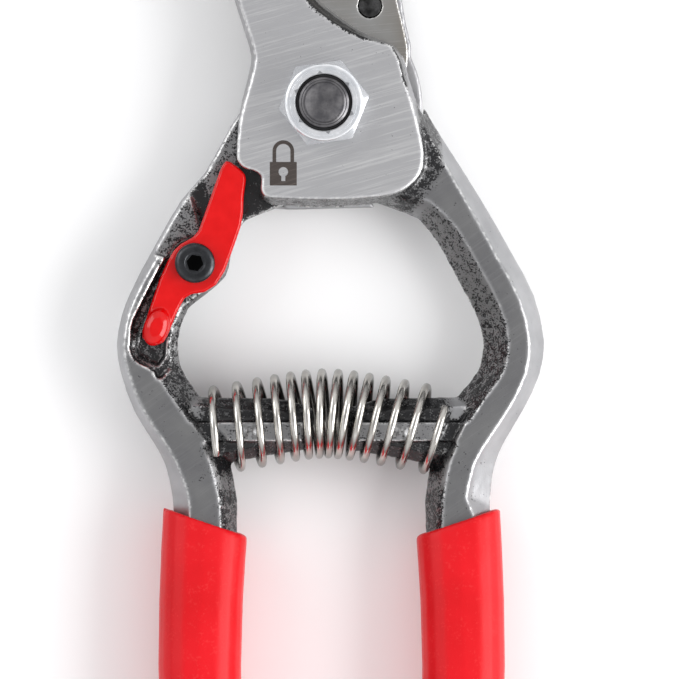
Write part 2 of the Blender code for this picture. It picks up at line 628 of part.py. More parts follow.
def make_cutting_blade():
    """Flat towards the hook, ground on the back; the heel is a disc about the pivot."""
    edges = outline(BLADE_OUTLINE, 2)
    tang = arc(BLADE_TANG_RADIUS, math.radians(2), math.radians(-224), 18)
    full = edges + [Vector((x, y, 0)) for x, y in tang]
    bevel = [-p[2] for p in full]
    rings = [at_height(grown(full, bevel), BLADE_BACK),
             at_height(full, BLADE_FRONT - BLADE_EDGE),
             at_height(full, BLADE_FRONT)]
    blade = add_object("cutting_blade", loft(rings), BLADE_STEEL)
    combine(blade, "DIFFERENCE", "bolt_hole", hole(BOLT_HOLE_RADIUS, BLADE_BACK - 1, BLADE_FRONT + 1))
    combine(blade, "DIFFERENCE", "rivet_hole",
            hole((RIVET_DIAMETER + RIVET_CLEARANCE) / 2, BLADE_BACK - 1, BLADE_FRONT + 1,
                 RIVET_PLACE, 20))


def make_blade_rivet():
    radius = RIVET_DIAMETER / 2
    head = RIVET_HEAD_DIAMETER / 2
    back = PLATE_BACK - GAP
    front = BLADE_FRONT + GAP / 2
    profile = [(0, back - RIVET_HEAD_HEIGHT), (head - 0.4, back - RIVET_HEAD_HEIGHT),
               (head, back - RIVET_HEAD_HEIGHT + 0.4), (head, back), (radius, back),
               (radius, front - 0.3), (radius - 0.3, front), (0, front)]
    add_object("blade_rivet", turned(profile, RIVET_PLACE, 20), DARK_STEEL)


def make_pivot_bolt():
    head = BOLT_HEAD_DIAMETER / 2
    chamfer = 1.1
    profile = [(0, 0), (head - 1.0, 0), (head, 1.0), (head, BOLT_HEAD_HEIGHT - 0.5),
               (head - 0.5, BOLT_HEAD_HEIGHT), (BOLT_RADIUS, BOLT_HEAD_HEIGHT),
               (BOLT_RADIUS, BOLT_END - chamfer), (BOLT_RADIUS - chamfer * 0.9, BOLT_END),
               (0, BOLT_END)]
    bolt = add_object("pivot_bolt", turned(profile, sides=40), DARK_STEEL)
    neck = polygon(4, NECK_SIDE, math.pi / 4)
    combine(bolt, "UNION", "square_neck", prism(neck, BOLT_HEAD_HEIGHT - 1, PLATE_FRONT - GAP))


def make_pivot_nut():
    """A hexagon with a turned collar at the front, notched round its inner edge."""
    bore = BOLT_HOLE_RADIUS
    recess = BOLT_RADIUS + NUT_RECESS_CLEARANCE / 2
    collar = NUT_COLLAR_DIAMETER / 2
    corner = NUT_ACROSS_FLATS / 2 / math.cos(math.pi / 6)
    profile = [(bore, NUT_BACK), (collar, NUT_BACK), (corner + 0.2, NUT_BACK + 0.8),
               (corner + 0.2, NUT_FRONT - 2.0), (collar, NUT_FRONT - 1.1), (collar - 0.5, NUT_FRONT),
               (recess, NUT_FRONT), (recess, NUT_FRONT - 1.6), (bore, NUT_FRONT - 1.6)]
    nut = add_object("pivot_nut", turned(profile, sides=48, bored=True), ZINC_PLATE)
    combine(nut, "INTERSECT", "hexagon",
            prism(polygon(6, NUT_ACROSS_FLATS, NUT_TURN), NUT_BACK - 1, NUT_FRONT + 1))
    for i in range(NOTCH_COUNT):
        turn = NUT_TURN + math.radians(30) + i * math.tau / NOTCH_COUNT
        reach = recess + NOTCH_REACH
        corners = [(recess - 0.5, -NOTCH_WIDTH / 2), (reach, -NOTCH_WIDTH / 2),
                   (reach, NOTCH_WIDTH / 2), (recess - 0.5, NOTCH_WIDTH / 2)]
        combine(nut, "DIFFERENCE", f"notch_{i + 1}",
                prism(turned_about(corners, (0, 0), turn), NUT_FRONT - NOTCH_DEPTH, NUT_FRONT + 1))


def make_return_spring():
    """Left-hand wound wire: each front half runs down to the left."""
    steps = round(SPRING_TURNS * 16)
    curve = bpy.data.curves.new("return_spring", "CURVE")
    curve.dimensions = "3D"
    curve.bevel_depth = WIRE_DIAMETER / 2 * MM
    curve.bevel_resolution = 1
    curve.use_fill_caps = True
    spline = curve.splines.new("POLY")
    spline.points.add(steps)
    for i in range(steps + 1):
        spline.points[i].co = (*(Vector(spring_point(i / steps)) * MM), 1)
    curve.materials.append(SPRING_STEEL)
    spring = bpy.data.objects.new("return_spring", curve)
    bpy.context.scene.collection.objects.link(spring)


def make_lock_lever(parent):
    """A stamped lever with a raised thumb pad, turned from its drawn outline to its rest."""
    drawn = smooth(LEVER_TIP_AND_RIGHT_EDGE + LEVER_LEFT_EDGE + LEVER_TIP_AND_RIGHT_EDGE[:1], 1)[:-1]
    shape = turned_about(drawn, SCREW_PLACE, LEVER_REST_TURN)
    rings = [at_height(grown(shape, -0.15), LEVER_BACK),
             at_height(shape, LEVER_BACK + 0.2),
             at_height(shape, LEVER_FRONT - LEVER_RIM),
             at_height(grown(shape, -LEVER_RIM * 0.7), LEVER_FRONT)]
    lever = add_object("lock_lever", loft(rings), RED_ENAMEL, (*SCREW_PLACE, 0), parent)
    pad_centre = turned_about([THUMB_PAD_PLACE], SCREW_PLACE, LEVER_REST_TURN)[0]
    pad_turn = THUMB_PAD_TURN + LEVER_REST_TURN
    pad = []
    for share, height in ((1, -1), (1, 0.25), (0.86, 0.7), (0.5, 1)):
        oval = [(THUMB_PAD_SIZE[0] / 2 * share * math.cos(a), THUMB_PAD_SIZE[1] / 2 * share * math.sin(a))
                for a in [2 * math.pi * i / 20 for i in range(20)]]
        ring = [pad_centre + p for p in turned_about(oval, (0, 0), pad_turn)]
        pad.append(at_height(ring, LEVER_FRONT + THUMB_PAD_HEIGHT * height))
    combine(lever, "UNION", "thumb_pad", loft(pad))
    radius = (SCREW_DIAMETER + SCREW_HOLE_CLEARANCE) / 2
    combine(lever, "DIFFERENCE", "screw_hole",
            hole(radius, LEVER_BACK - 1, LEVER_FRONT + 1, SCREW_PLACE, 24))


def screw_end():
    return ARM_MIDDLE - ARM_HALF_DEPTH + 1.2


def make_lock_screw():
    head = SCREW_HEAD_DIAMETER / 2
    seat = LEVER_FRONT + GAP
    top = seat + SCREW_HEAD_HEIGHT
    profile = [(0, screw_end()), (SCREW_DIAMETER / 2 - 0.5, screw_end()),
               (SCREW_DIAMETER / 2, screw_end() + 0.5), (SCREW_DIAMETER / 2, seat), (head, seat),
               (head, top - 0.9), (head - 0.5, top - 0.3), (head - 1.2, top), (0, top)]
    screw = add_object("lock_screw", turned(profile, SCREW_PLACE, 32), BLACK_OXIDE)
    combine(screw, "DIFFERENCE", "socket",
            prism(polygon(6, SCREW_SOCKET, math.radians(20), SCREW_PLACE), top - 1.6, top + 1))


def make_lock_washer():
    """A wave washer: a thin ring that rises and falls three times round."""
    outer = WASHER_DIAMETER / 2
    inner = (SCREW_DIAMETER + SCREW_HOLE_CLEARANCE) / 2
    middle = (SPOT_FACE + LEVER_BACK) / 2
    made = bmesh.new()
    loops = []
    for i in range(36):
        angle = 2 * math.pi * i / 36
        z = middle + WASHER_WAVE * math.sin(3 * angle)
        corners = []
        for radius, rise in ((inner, -1), (outer, -1), (outer, 1), (inner, 1)):
            corners.append(made.verts.new(Vector((
                SCREW_PLACE[0] + radius * math.cos(angle),
                SCREW_PLACE[1] + radius * math.sin(angle),
                z + rise * WASHER_THICKNESS / 2)) * MM))
        loops.append(corners)
    for here, after in zip(loops, loops[1:] + loops[:1]):
        for k in range(4):
            m = (k + 1) % 4
            made.faces.new((here[k], here[m], after[m], after[k]))
    bmesh.ops.recalc_face_normals(made, faces=made.faces)
    add_object("lock_washer", made, SPRING_STEEL)


for leftover in list(bpy.data.objects):
    bpy.data.objects.remove(leftover)

FORGED_STEEL = material("forged_steel", (0.42, 0.42, 0.43), 0.4, 1.0)
BLADE_STEEL = material("blade_steel", (0.5, 0.5, 0.5), 0.3, 1.0)
DARK_STEEL = material("dark_steel", (0.12, 0.12, 0.13), 0.5, 1.0)
ZINC_PLATE = material("zinc_plate", (0.75, 0.78, 0.8), 0.22, 1.0)
SPRING_STEEL = material("spring_steel", (0.6, 0.57, 0.54), 0.25, 1.0)
RED_ENAMEL = material("red_enamel", (0.75, 0.0, 0.005), 0.25, 0.0)
BLACK_OXIDE = material("black_oxide", (0.02, 0.022, 0.025), 0.4, 0.9)
RED_VINYL = material("red_vinyl", (0.72, 0.01, 0.015), 0.5, 0.0)

pivot_axis = axis_empty("pivot_axis", (0, 0, 0))
lock_axis = axis_empty("lock_axis", (*SCREW_PLACE, 0))

make_blade_handle()
make_hook_handle(pivot_axis)
make_cutting_blade()
make_blade_rivet()
make_pivot_bolt()
make_pivot_nut()
make_return_spring()
make_lock_lever(lock_axis)
make_lock_screw()
make_lock_washer()
grip_body("left_grip", LEFT_ARM, LEFT_GRIP_X)
grip_body("right_grip", RIGHT_ARM, RIGHT_GRIP_X, pivot_axis)
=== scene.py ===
"""Looks of the bypass pruner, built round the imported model.

Sizes are in millimetres and become metres where a mesh is made. +Z is the nut side, +Y runs to
the tips of the jaws, and the pivot's axis is X = Y = 0.
"""

import math

import bmesh
import bpy
import numpy as np
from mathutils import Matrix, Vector, noise


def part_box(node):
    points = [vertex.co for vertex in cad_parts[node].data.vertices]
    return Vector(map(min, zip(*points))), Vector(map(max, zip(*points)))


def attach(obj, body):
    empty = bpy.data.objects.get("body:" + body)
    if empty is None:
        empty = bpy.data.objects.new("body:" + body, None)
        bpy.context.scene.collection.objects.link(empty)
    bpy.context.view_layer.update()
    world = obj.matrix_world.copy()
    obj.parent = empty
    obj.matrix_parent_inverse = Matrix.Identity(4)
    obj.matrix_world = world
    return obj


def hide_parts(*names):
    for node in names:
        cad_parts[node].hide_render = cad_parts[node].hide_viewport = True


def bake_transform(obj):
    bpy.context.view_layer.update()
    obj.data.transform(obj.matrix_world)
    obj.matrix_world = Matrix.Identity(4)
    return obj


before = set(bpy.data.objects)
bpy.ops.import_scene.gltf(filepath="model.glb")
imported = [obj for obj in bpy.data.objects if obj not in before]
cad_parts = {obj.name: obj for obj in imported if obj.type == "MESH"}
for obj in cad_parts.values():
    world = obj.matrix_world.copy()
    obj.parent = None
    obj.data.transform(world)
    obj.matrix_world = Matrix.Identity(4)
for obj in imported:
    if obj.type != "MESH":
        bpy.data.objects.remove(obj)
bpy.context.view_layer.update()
bpy.context.scene.view_settings.view_transform = "Standard"

MM = 0.001


# Places read from the frame, in millimetres

def low_of(node):
    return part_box(node)[0] / MM


def high_of(node):
    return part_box(node)[1] / MM


def middle_of(node):
    return (low_of(node) + high_of(node)) / 2


NUT_HEIGHT = 6.8
ARM_HALF_HEIGHT = 5.3

PLATE_TOP = high_of("pivot_nut").z - NUT_HEIGHT  # ground face of the hook plate
ARM_MIDDLE = middle_of("left_grip").z
ARM_FACE = ARM_MIDDLE + ARM_HALF_HEIGHT


# Modelling helpers

LENGTHS = {"radius", "depth", "size"}  # the sizes of a primitive that are given in millimetres
MERGE_DISTANCE = 0.005
LEVEL_NORMAL = 0.9  # a face is level when this much of its normal is upright
LEVEL_SLACK = 0.02
BEVEL_ANGLE = 30
BEVEL_SEGMENTS = 3
CRISP_ANGLE = 35  # edges sharper than this, in degrees, stay crisp on turned pieces
WORN_ANGLE = 60  # and these on worn, remeshed pieces
SMOOTHING = 0.5
SPARE = 1.0  # how far a cutting tool reaches past what it cuts


def only(*chosen):
    """Selects these objects and no other, with the first of them active."""
    bpy.ops.object.select_all(action="DESELECT")
    for obj in chosen:
        obj.select_set(True)
    bpy.context.view_layer.objects.active = chosen[0]


def settle(obj):
    """Moves the object's place, turn and scale into its mesh."""
    only(obj)
    bpy.ops.object.transform_apply(location=True, rotation=True, scale=True)
    return obj


def primitive(kind, name, centre, turn=(0, 0, 0), **sizes):
    """A primitive of that size, in millimetres, at its place."""
    bpy.ops.object.select_all(action="DESELECT")
    values = {key: value * MM if key in LENGTHS else value for key, value in sizes.items()}
    add = getattr(bpy.ops.mesh, f"primitive_{kind}_add")
    add(location=[c * MM for c in centre], rotation=turn, **values)
    obj = bpy.context.active_object
    obj.name = name
    obj.data.name = name
    return settle(obj)


def cylinder(name, radius, bottom, top, centre=(0, 0), sides=96, turn=0):
    return primitive("cylinder", name, (centre[0], centre[1], (bottom + top) / 2), (0, 0, turn),
                     vertices=sides, radius=radius, depth=top - bottom)


def apply(obj, kind, **values):
    """Adds a modifier and applies it."""
    only(obj)
    modifier = obj.modifiers.new(kind.title(), kind)
    for key, value in values.items():
        setattr(modifier, key, value)
    bpy.ops.object.modifier_apply(modifier=modifier.name)


def cut(obj, operation, *tools):
    """Booleans with other objects, which are used up."""
    for tool in tools:
        apply(obj, "BOOLEAN", operation=operation, object=tool)
        bpy.data.objects.remove(tool)


def edit_mode(obj, select):
    """Opens edit mode with all of the mesh selected, or none of it."""
    only(obj)
    bpy.ops.object.mode_set(mode="EDIT")
    bpy.ops.mesh.select_mode(type="FACE")
    bpy.ops.mesh.select_all(action=select)


def object_mode():
    bpy.ops.object.mode_set(mode="OBJECT")


def terraces(obj, wanted, steps):
    """Insets a face again and again, each time in by a width and out by a height.

    The face is the one whose centre, in millimetres, and normal pass the test.
    """
    edit_mode(obj, "DESELECT")
    shape = bmesh.from_edit_mesh(obj.data)
    for face in shape.faces:
        face.select_set(wanted(face.calc_center_median() / MM, face.normal))
    bmesh.update_edit_mesh(obj.data)
    for width, height in steps:
        bpy.ops.mesh.inset(thickness=width * MM, depth=height * MM)
    object_mode()


def facing_up(height):
    return lambda centre, normal: (normal.z > LEVEL_NORMAL
                                   and abs(centre.z - height) < LEVEL_SLACK)


def facing_down(height):
    return lambda centre, normal: (normal.z < -LEVEL_NORMAL
                                   and abs(centre.z - height) < LEVEL_SLACK)


def merge_doubles(obj, distance):
    edit_mode(obj, "SELECT")
    bpy.ops.mesh.remove_doubles(threshold=distance * MM)
    object_mode()


def smooth(obj, angle=CRISP_ANGLE):
    only(obj)
    bpy.ops.object.shade_smooth_by_angle(angle=math.radians(angle))


def rounded(obj, width, angle=BEVEL_ANGLE):
    """A small bevel on every edge sharper than the angle, then smooth shading."""
    apply(obj, "BEVEL", width=width * MM, segments=BEVEL_SEGMENTS, limit_method="ANGLE",
          angle_limit=math.radians(angle))
    smooth(obj)


def copy_of_node(node, name):
    """A merged copy of a CAD node."""
    obj = bpy.data.objects.new(name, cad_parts[node].data.copy())
    bpy.context.scene.collection.objects.link(obj)
    obj.data.name = name
    only(obj)
    bpy.ops.mesh.customdata_custom_splitnormals_clear()
    merge_doubles(obj, MERGE_DISTANCE)
    return obj


def remeshed(node, name, cell, rounds):
    """A copy of a CAD node in even small faces, with its edges worn round by smoothing."""
    obj = copy_of_node(node, name)
    apply(obj, "REMESH", mode="VOXEL", voxel_size=cell * MM, use_smooth_shade=True)
    apply(obj, "SMOOTH", factor=SMOOTHING, iterations=rounds)
    return obj


def finish(obj, body, slot, material, *nodes):
    """Gives a finished piece its material, its body and the CAD nodes it stands for; the slot is not
    used.
    """
    obj.data.materials.clear()
    obj.data.materials.append(material)
    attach(obj, body)
    if nodes:
        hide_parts(*nodes)


# Measures on a fine mesh

HOLLOW_DEPTH = 0.6  # a hollow this deep gets the full painted shade
NO_LENGTH = 1e-9


def vertex_rows(obj, what):
    rows = np.empty(len(obj.data.vertices) * 3, np.float32)
    obj.data.vertices.foreach_get(what, rows)
    return rows.reshape(-1, 3)


def edge_rows(obj):
    rows = np.empty(len(obj.data.edges) * 2, np.int32)
    obj.data.edges.foreach_get("vertices", rows)
    return rows.reshape(-1, 2)


def step(value, low, high):
    """0 below low, 1 above high, and a smooth rise between."""
    t = np.clip((value - low) / (high - low), 0, 1)
    return t * t * (3 - 2 * t)


def fade(value, low, high):
    """1 below low, 0 above high, and a smooth fall between."""
    return 1 - step(value, low, high)


def within(value, rise, fall):
    """A smooth rise over the first pair of values, and a smooth fall over the second."""
    return step(value, *rise) * fade(value, *fall)


def along(x, y, start, end, width):
    """1 on the line from start to end, fading to 0 at that distance from it."""
    way = np.subtract(end, start)
    share = np.clip(((x - start[0]) * way[0] + (y - start[1]) * way[1]) / (way @ way), 0, 1)
    off = np.hypot(x - start[0] - share * way[0], y - start[1] - share * way[1])
    return fade(off, 0.3 * width, width)


def store(obj, name, values):
    attribute = obj.data.attributes.new(name, "FLOAT", "POINT")
    attribute.data.foreach_set("value", np.asarray(values, np.float32))


def darken_painted_shade(obj, centre, radius, top):
    """Marks what lies within that radius and below the top for painted shade, as a dark hollow."""
    x, y, z = (vertex_rows(obj, "co") / MM).T
    near = np.hypot(x - centre[0], y - centre[1]) < radius
    store(obj, "painted_shade", near * step(top - z, 0.0, HOLLOW_DEPTH))


def spread(values, edges, rounds):
    """Averages a value with its neighbours', again and again."""
    count = np.bincount(edges.ravel(), minlength=len(values)) + 1
    for _ in range(rounds):
        total = values.copy()
        np.add.at(total, edges[:, 0], values[edges[:, 1]])
        np.add.at(total, edges[:, 1], values[edges[:, 0]])
        values = total / count
    return values


def edge_sharpness(obj):
    """How convex the surface is at each vertex: about 1 on a worn outer edge, below 0 in a corner."""
    places = vertex_rows(obj, "co") / MM
    normals = vertex_rows(obj, "normal")
    edges = edge_rows(obj)
    way = places[edges[:, 1]] - places[edges[:, 0]]
    length = np.maximum((way ** 2).sum(1), NO_LENGTH)
    turn = ((normals[edges[:, 1]] - normals[edges[:, 0]]) * way).sum(1) / length
    total = np.zeros(len(places))
    np.add.at(total, edges[:, 0], turn)
    np.add.at(total, edges[:, 1], turn)
    count = np.maximum(np.bincount(edges.ravel(), minlength=len(places)), 1)
    return spread(total / count, edges, 1)


# Shader nodes

def add_node(tree, kind, inputs=None, **settings):
    """A shader node with its settings, and inputs that are values or sockets to link from."""
    made = tree.nodes.new(kind)
    for key, value in settings.items():
        setattr(made, key, value)
    for key, value in (inputs or {}).items():
        if isinstance(value, bpy.types.NodeSocket):
            tree.links.new(value, made.inputs[key])
        else:
            made.inputs[key].default_value = value
    return made


def group(name, inputs, outputs):
    """A node group with named sockets; returns it with its inputs and its output node."""
    tree = bpy.data.node_groups.new(name, "ShaderNodeTree")
    for socket, kind, value in inputs:
        made = tree.interface.new_socket(socket, in_out="INPUT", socket_type=f"NodeSocket{kind}")
        made.default_value = value
    for socket in outputs:
        tree.interface.new_socket(socket, in_out="OUTPUT", socket_type="NodeSocketFloat")
    return tree, tree.nodes.new("NodeGroupInput").outputs, tree.nodes.new("NodeGroupOutput")


def feed(tree, node, **values):
    """Links values to a node's inputs, whose names are written with _ for a space."""
    for name, value in values.items():
        tree.links.new(value, node.inputs[name.replace("_", " ")])


def object_place(tree):
    return add_node(tree, "ShaderNodeTexCoord").outputs["Object"]


def noise_texture(tree, place, scale, detail, roughness=0.5):
    return add_node(tree, "ShaderNodeTexNoise", {"Vector": place, "Scale": scale, "Detail": detail,
                                                 "Roughness": roughness}).outputs[0]


def ramp(tree, value, low, high):
    """A mask that rises from 0 at low to 1 at high."""
    return add_node(tree, "ShaderNodeMapRange", {"Value": value, "From Min": low, "From Max": high},
                    clamp=True).outputs["Result"]


def maths(tree, operation, a, b, clamp=False):
    return add_node(tree, "ShaderNodeMath", {0: a, 1: b}, operation=operation,
                    use_clamp=clamp).outputs[0]


def some_of(tree, mask, share):
    """A mask at a share of its strength."""
    return maths(tree, "MULTIPLY", mask, share, clamp=True)


def blend(tree, share, a, b):
    """Colour a where the share is 0 and colour b where it is 1."""
    a, b = (c if isinstance(c, bpy.types.NodeSocket) else (*c, 1) for c in (a, b))
    return add_node(tree, "ShaderNodeMix", {0: share, 6: a, 7: b}, data_type="RGBA").outputs[2]


def blend_value(tree, share, a, b):
    return add_node(tree, "ShaderNodeMix", {0: share, 2: a, 3: b}, data_type="FLOAT").outputs[0]


def attribute(tree, name):
    return add_node(tree, "ShaderNodeAttribute", attribute_name=name).outputs["Fac"]


def use(tree, made_group, **inputs):
    """Places a group in a material with its own values."""
    return add_node(tree, "ShaderNodeGroup", inputs, node_tree=made_group).outputs


def new_material(name, colour, **values):
    """A material with one Principled BSDF; returns it with its tree and shader."""
    made = bpy.data.materials.new(name)
    made.use_nodes = True
    made.diffuse_color = (*colour, 1)
    shader = made.node_tree.nodes["Principled BSDF"]
    shader.inputs["Base Color"].default_value = (*colour, 1)
    for key, value in values.items():
        shader.inputs[key.replace("_", " ")].default_value = value
    return made, made.node_tree, shader


def bump(tree, shader, height, depth, strength):
    """Bumps as deep as depth, in millimetres."""
    made = add_node(tree, "ShaderNodeBump", {"Height": height, "Distance": depth * MM,
                                             "Strength": strength})
    feed(tree, shader, Normal=made.outputs["Normal"])


def per_mm(cells):
    """A texture scale with that many cells to a millimetre."""
    return cells / MM


# Effects shared by several materials

GRAIN_LEVELS = {"To Min": 0.68, "To Max": 0.32}  # noise above this is grain, at Cover 0 and at 1
GRAIN_EDGE = 0.05
COARSE_SCALE = 0.3
COARSE_SHARE = 0.35
LINE_LEVELS = (0.52, 0.68)
PATCH_LEVELS = (0.35, 0.68)
WEAR_NOISE = 0.5
WEAR_EDGE = 0.25


def make_grain_group():
    """Small grains whose share of the surface is Cover: their mask, and a height for bumps."""
    tree, given, out = group("grain", [("Scale", "Float", 1000.0), ("Cover", "Float", 0.5)],
                             ["Mask", "Height"])
    place = object_place(tree)
    wide = maths(tree, "MULTIPLY", given["Scale"], COARSE_SCALE)
    fine = noise_texture(tree, place, given["Scale"], detail=2.0, roughness=0.6)
    coarse = noise_texture(tree, place, wide, detail=1.0)
    mixed = blend_value(tree, COARSE_SHARE, fine, coarse)
    level = add_node(tree, "ShaderNodeMapRange", {"Value": given["Cover"], **GRAIN_LEVELS},
                     clamp=True).outputs["Result"]
    above = maths(tree, "ADD", level, GRAIN_EDGE)
    feed(tree, out, Mask=ramp(tree, mixed, level, above), Height=mixed)
    return tree


def make_lines_group():
    """Long thin scratches along one direction: a mask of the strongest, and a height for bumps."""
    tree, given, out = group(
        "lines", [("Turn", "Vector", (0, 0, 0)), ("Stretch", "Vector", (1, 1, 1)),
                  ("Scale", "Float", 1000.0)], ["Mask", "Height"])
    turned = add_node(tree, "ShaderNodeMapping", {"Vector": object_place(tree),
                                                  "Rotation": given["Turn"]})
    stretched = add_node(tree, "ShaderNodeMapping", {"Vector": turned.outputs[0],
                                                     "Scale": given["Stretch"]})
    texture = noise_texture(tree, stretched.outputs[0], given["Scale"], detail=4.0, roughness=0.7)
    feed(tree, out, Mask=ramp(tree, texture, *LINE_LEVELS), Height=texture)
    return tree


def make_smudge_group():
    """Soft patches, for uneven colour and gloss."""
    tree, given, out = group("smudge", [("Scale", "Float", 100.0)], ["Mask"])
    texture = noise_texture(tree, object_place(tree), given["Scale"], detail=3.0, roughness=0.55)
    feed(tree, out, Mask=ramp(tree, texture, *PATCH_LEVELS))
    return tree


def make_wear_group():
    """Bare metal along the edges that the mesh marks as sharp, broken up by noise."""
    tree, given, out = group("edge_wear", [("Width", "Float", 0.5), ("Scale", "Float", 1500.0)],
                             ["Mask"])
    texture = noise_texture(tree, object_place(tree), given["Scale"], detail=2.0)
    level = maths(tree, "ADD", attribute(tree, "edge"), some_of(tree, texture, WEAR_NOISE))
    start = maths(tree, "SUBTRACT", 1.0, given["Width"])
    end = maths(tree, "ADD", start, WEAR_EDGE)
    feed(tree, out, Mask=ramp(tree, level, start, end))
    return tree


GRAIN = make_grain_group()
LINES = make_lines_group()
SMUDGE = make_smudge_group()
WEAR = make_wear_group()


def grains(tree, cells_per_mm, cover):
    return use(tree, GRAIN, Scale=per_mm(cells_per_mm), Cover=cover)


def lines(tree, degrees, stretch, cells_per_mm):
    """Scratches turned by that angle; a smaller stretch makes them longer."""
    return use(tree, LINES, Turn=(0, 0, math.radians(degrees)), Stretch=(stretch, 1, 1),
               Scale=per_mm(cells_per_mm))


def smudges(tree, cells_per_mm):
    return use(tree, SMUDGE, Scale=per_mm(cells_per_mm))["Mask"]


def wear(tree, width, cells_per_mm):
    return use(tree, WEAR, Width=width, Scale=per_mm(cells_per_mm))["Mask"]


# Materials. A pair of colours is what the patches or grains vary between.

GRINDING_TURN = -16
# The black and the two greys below are the colours of black scale, and also of painted shade where
# the scale mask marks recesses, hollow corners, grooves and the underside of the plate.
SCALE_AND_SHADE_BLACK = (0.01, 0.01, 0.011)
GREY_UNDER_SCALE_AND_SHADE = (0.16, 0.16, 0.162)
GREY_NEAR_SCALE_AND_SHADE = (0.3, 0.3, 0.303)
SIDE_GREYS = (0.36, 0.36, 0.37), (0.46, 0.46, 0.47)
ARM_GREYS = (0.2, 0.2, 0.205), (0.25, 0.25, 0.25)
ARM_SCRATCH = (0.42, 0.42, 0.42)
GROUND_GREYS = (0.62, 0.62, 0.63), (0.8, 0.8, 0.8)
GRINDING_STROKE = (0.95, 0.95, 0.94)
# Worn edges are made bright enough to stand for the edges' highlights too: wear and painted
# highlight.
WORN_EDGE_AND_HIGHLIGHT = (0.85, 0.85, 0.84)
GREY_FROM = (0.2, 0.45)  # the cover of scale and painted shade over which bare sides turn grey
DARK_FROM = (0.55, 0.85)
ARM_ROUGHNESS = 0.42
GROUND_ROUGHNESS = 0.34
SCALE_ROUGHNESS = 0.24
WORN_ROUGHNESS = 0.22


def forged_steel():
    """Ground faces, bare forged arms, black scale that leaves grains of bare steel, painted shade in
    the same black and dark greys, and bright worn edges that are partly painted highlight.
    """
    made, tree, shader = new_material("forged_steel", (0.4, 0.4, 0.42), Metallic=1.0)
    ground = attribute(tree, "ground")
    scale = attribute(tree, "scale")
    strokes = lines(tree, degrees=GRINDING_TURN, stretch=0.02, cells_per_mm=2.8)
    streaks = lines(tree, degrees=GRINDING_TURN + 2, stretch=0.06, cells_per_mm=0.7)
    scratches = lines(tree, degrees=-35, stretch=0.03, cells_per_mm=2.6)
    patches = smudges(tree, cells_per_mm=0.12)
    black = grains(tree, cells_per_mm=2.9, cover=scale)
    worn = wear(tree, width=0.55, cells_per_mm=1.2)

    sides = blend(tree, patches, *SIDE_GREYS)
    sides = blend(tree, ramp(tree, scale, *GREY_FROM), sides, GREY_NEAR_SCALE_AND_SHADE)
    sides = blend(tree, ramp(tree, scale, *DARK_FROM), sides, GREY_UNDER_SCALE_AND_SHADE)
    flats = blend(tree, patches, *ARM_GREYS)
    flats = blend(tree, some_of(tree, scratches["Mask"], 0.16), flats, ARM_SCRATCH)
    bright = blend(tree, some_of(tree, streaks["Mask"], 0.6), *GROUND_GREYS)
    bright = blend(tree, some_of(tree, strokes["Mask"], 0.5), bright, GRINDING_STROKE)
    colour = blend(tree, attribute(tree, "flat"), sides, flats)
    colour = blend(tree, ground, colour, bright)
    # Bright worn edges: real wear and painted highlight.
    colour = blend(tree, worn, colour, WORN_EDGE_AND_HIGHLIGHT)
    # Black scale, and painted shade where the mask marks shade.
    colour = blend(tree, black["Mask"], colour, SCALE_AND_SHADE_BLACK)

    rough = blend_value(tree, ground, ARM_ROUGHNESS, GROUND_ROUGHNESS)
    rough = blend_value(tree, black["Mask"], rough, SCALE_ROUGHNESS)
    rough = blend_value(tree, some_of(tree, worn, 0.7), rough, WORN_ROUGHNESS)
    bare = maths(tree, "SUBTRACT", 1.0, black["Mask"])
    feed(tree, shader, Base_Color=colour, Metallic=bare, Roughness=rough)
    height = blend_value(tree, ground, black["Height"], strokes["Height"])
    bump(tree, shader, height, depth=0.06, strength=0.7)
    return made


BLADE_GREYS = (0.34, 0.32, 0.29), (0.42, 0.42, 0.41)
BLADE_STROKE = (0.7, 0.68, 0.66)
BLADE_WORN = (0.85, 0.85, 0.85)


def brushed_blade():
    """Warm grey steel brushed across, bare along its worn edges."""
    made, tree, shader = new_material("blade_steel", (0.55, 0.53, 0.51), Metallic=1.0)
    strokes = lines(tree, degrees=-4, stretch=0.03, cells_per_mm=3.0)
    colour = blend(tree, smudges(tree, cells_per_mm=0.09), *BLADE_GREYS)
    colour = blend(tree, some_of(tree, strokes["Mask"], 0.45), colour, BLADE_STROKE)
    colour = blend(tree, wear(tree, width=0.5, cells_per_mm=2.0), colour, BLADE_WORN)
    rough = blend_value(tree, strokes["Mask"], 0.36, 0.26)
    feed(tree, shader, Base_Color=colour, Roughness=rough)
    bump(tree, shader, strokes["Height"], depth=0.02, strength=0.5)
    return made


PAINTED_SHADE_BLACK = (0.004, 0.004, 0.004)


def plated(name, colour, dark, roughness, grain_depth, metallic=1.0):
    """A plated or oiled small part: patchy colour, small grains, a satin gloss, and painted shade,
    near black, where the mesh marks a hollow.
    """
    made, tree, shader = new_material(name, colour, Metallic=metallic)
    grain = grains(tree, cells_per_mm=2.8, cover=0.4)
    patches = smudges(tree, cells_per_mm=0.5)
    mixed = blend(tree, patches, dark, colour)
    mixed = blend(tree, some_of(tree, grain["Mask"], 0.35), mixed, dark)
    # Painted shade: near black in the marked hollows.
    mixed = blend(tree, attribute(tree, "painted_shade"), mixed, PAINTED_SHADE_BLACK)
    rough = blend_value(tree, patches, roughness + 0.1, roughness)
    feed(tree, shader, Base_Color=mixed, Roughness=rough)
    bump(tree, shader, grain["Height"], depth=grain_depth, strength=0.5)
    return made


WIRE_GREYS = (0.48, 0.46, 0.43), (0.7, 0.68, 0.64)
WIRE_SPRING_SHADE = (0.03, 0.028, 0.026)


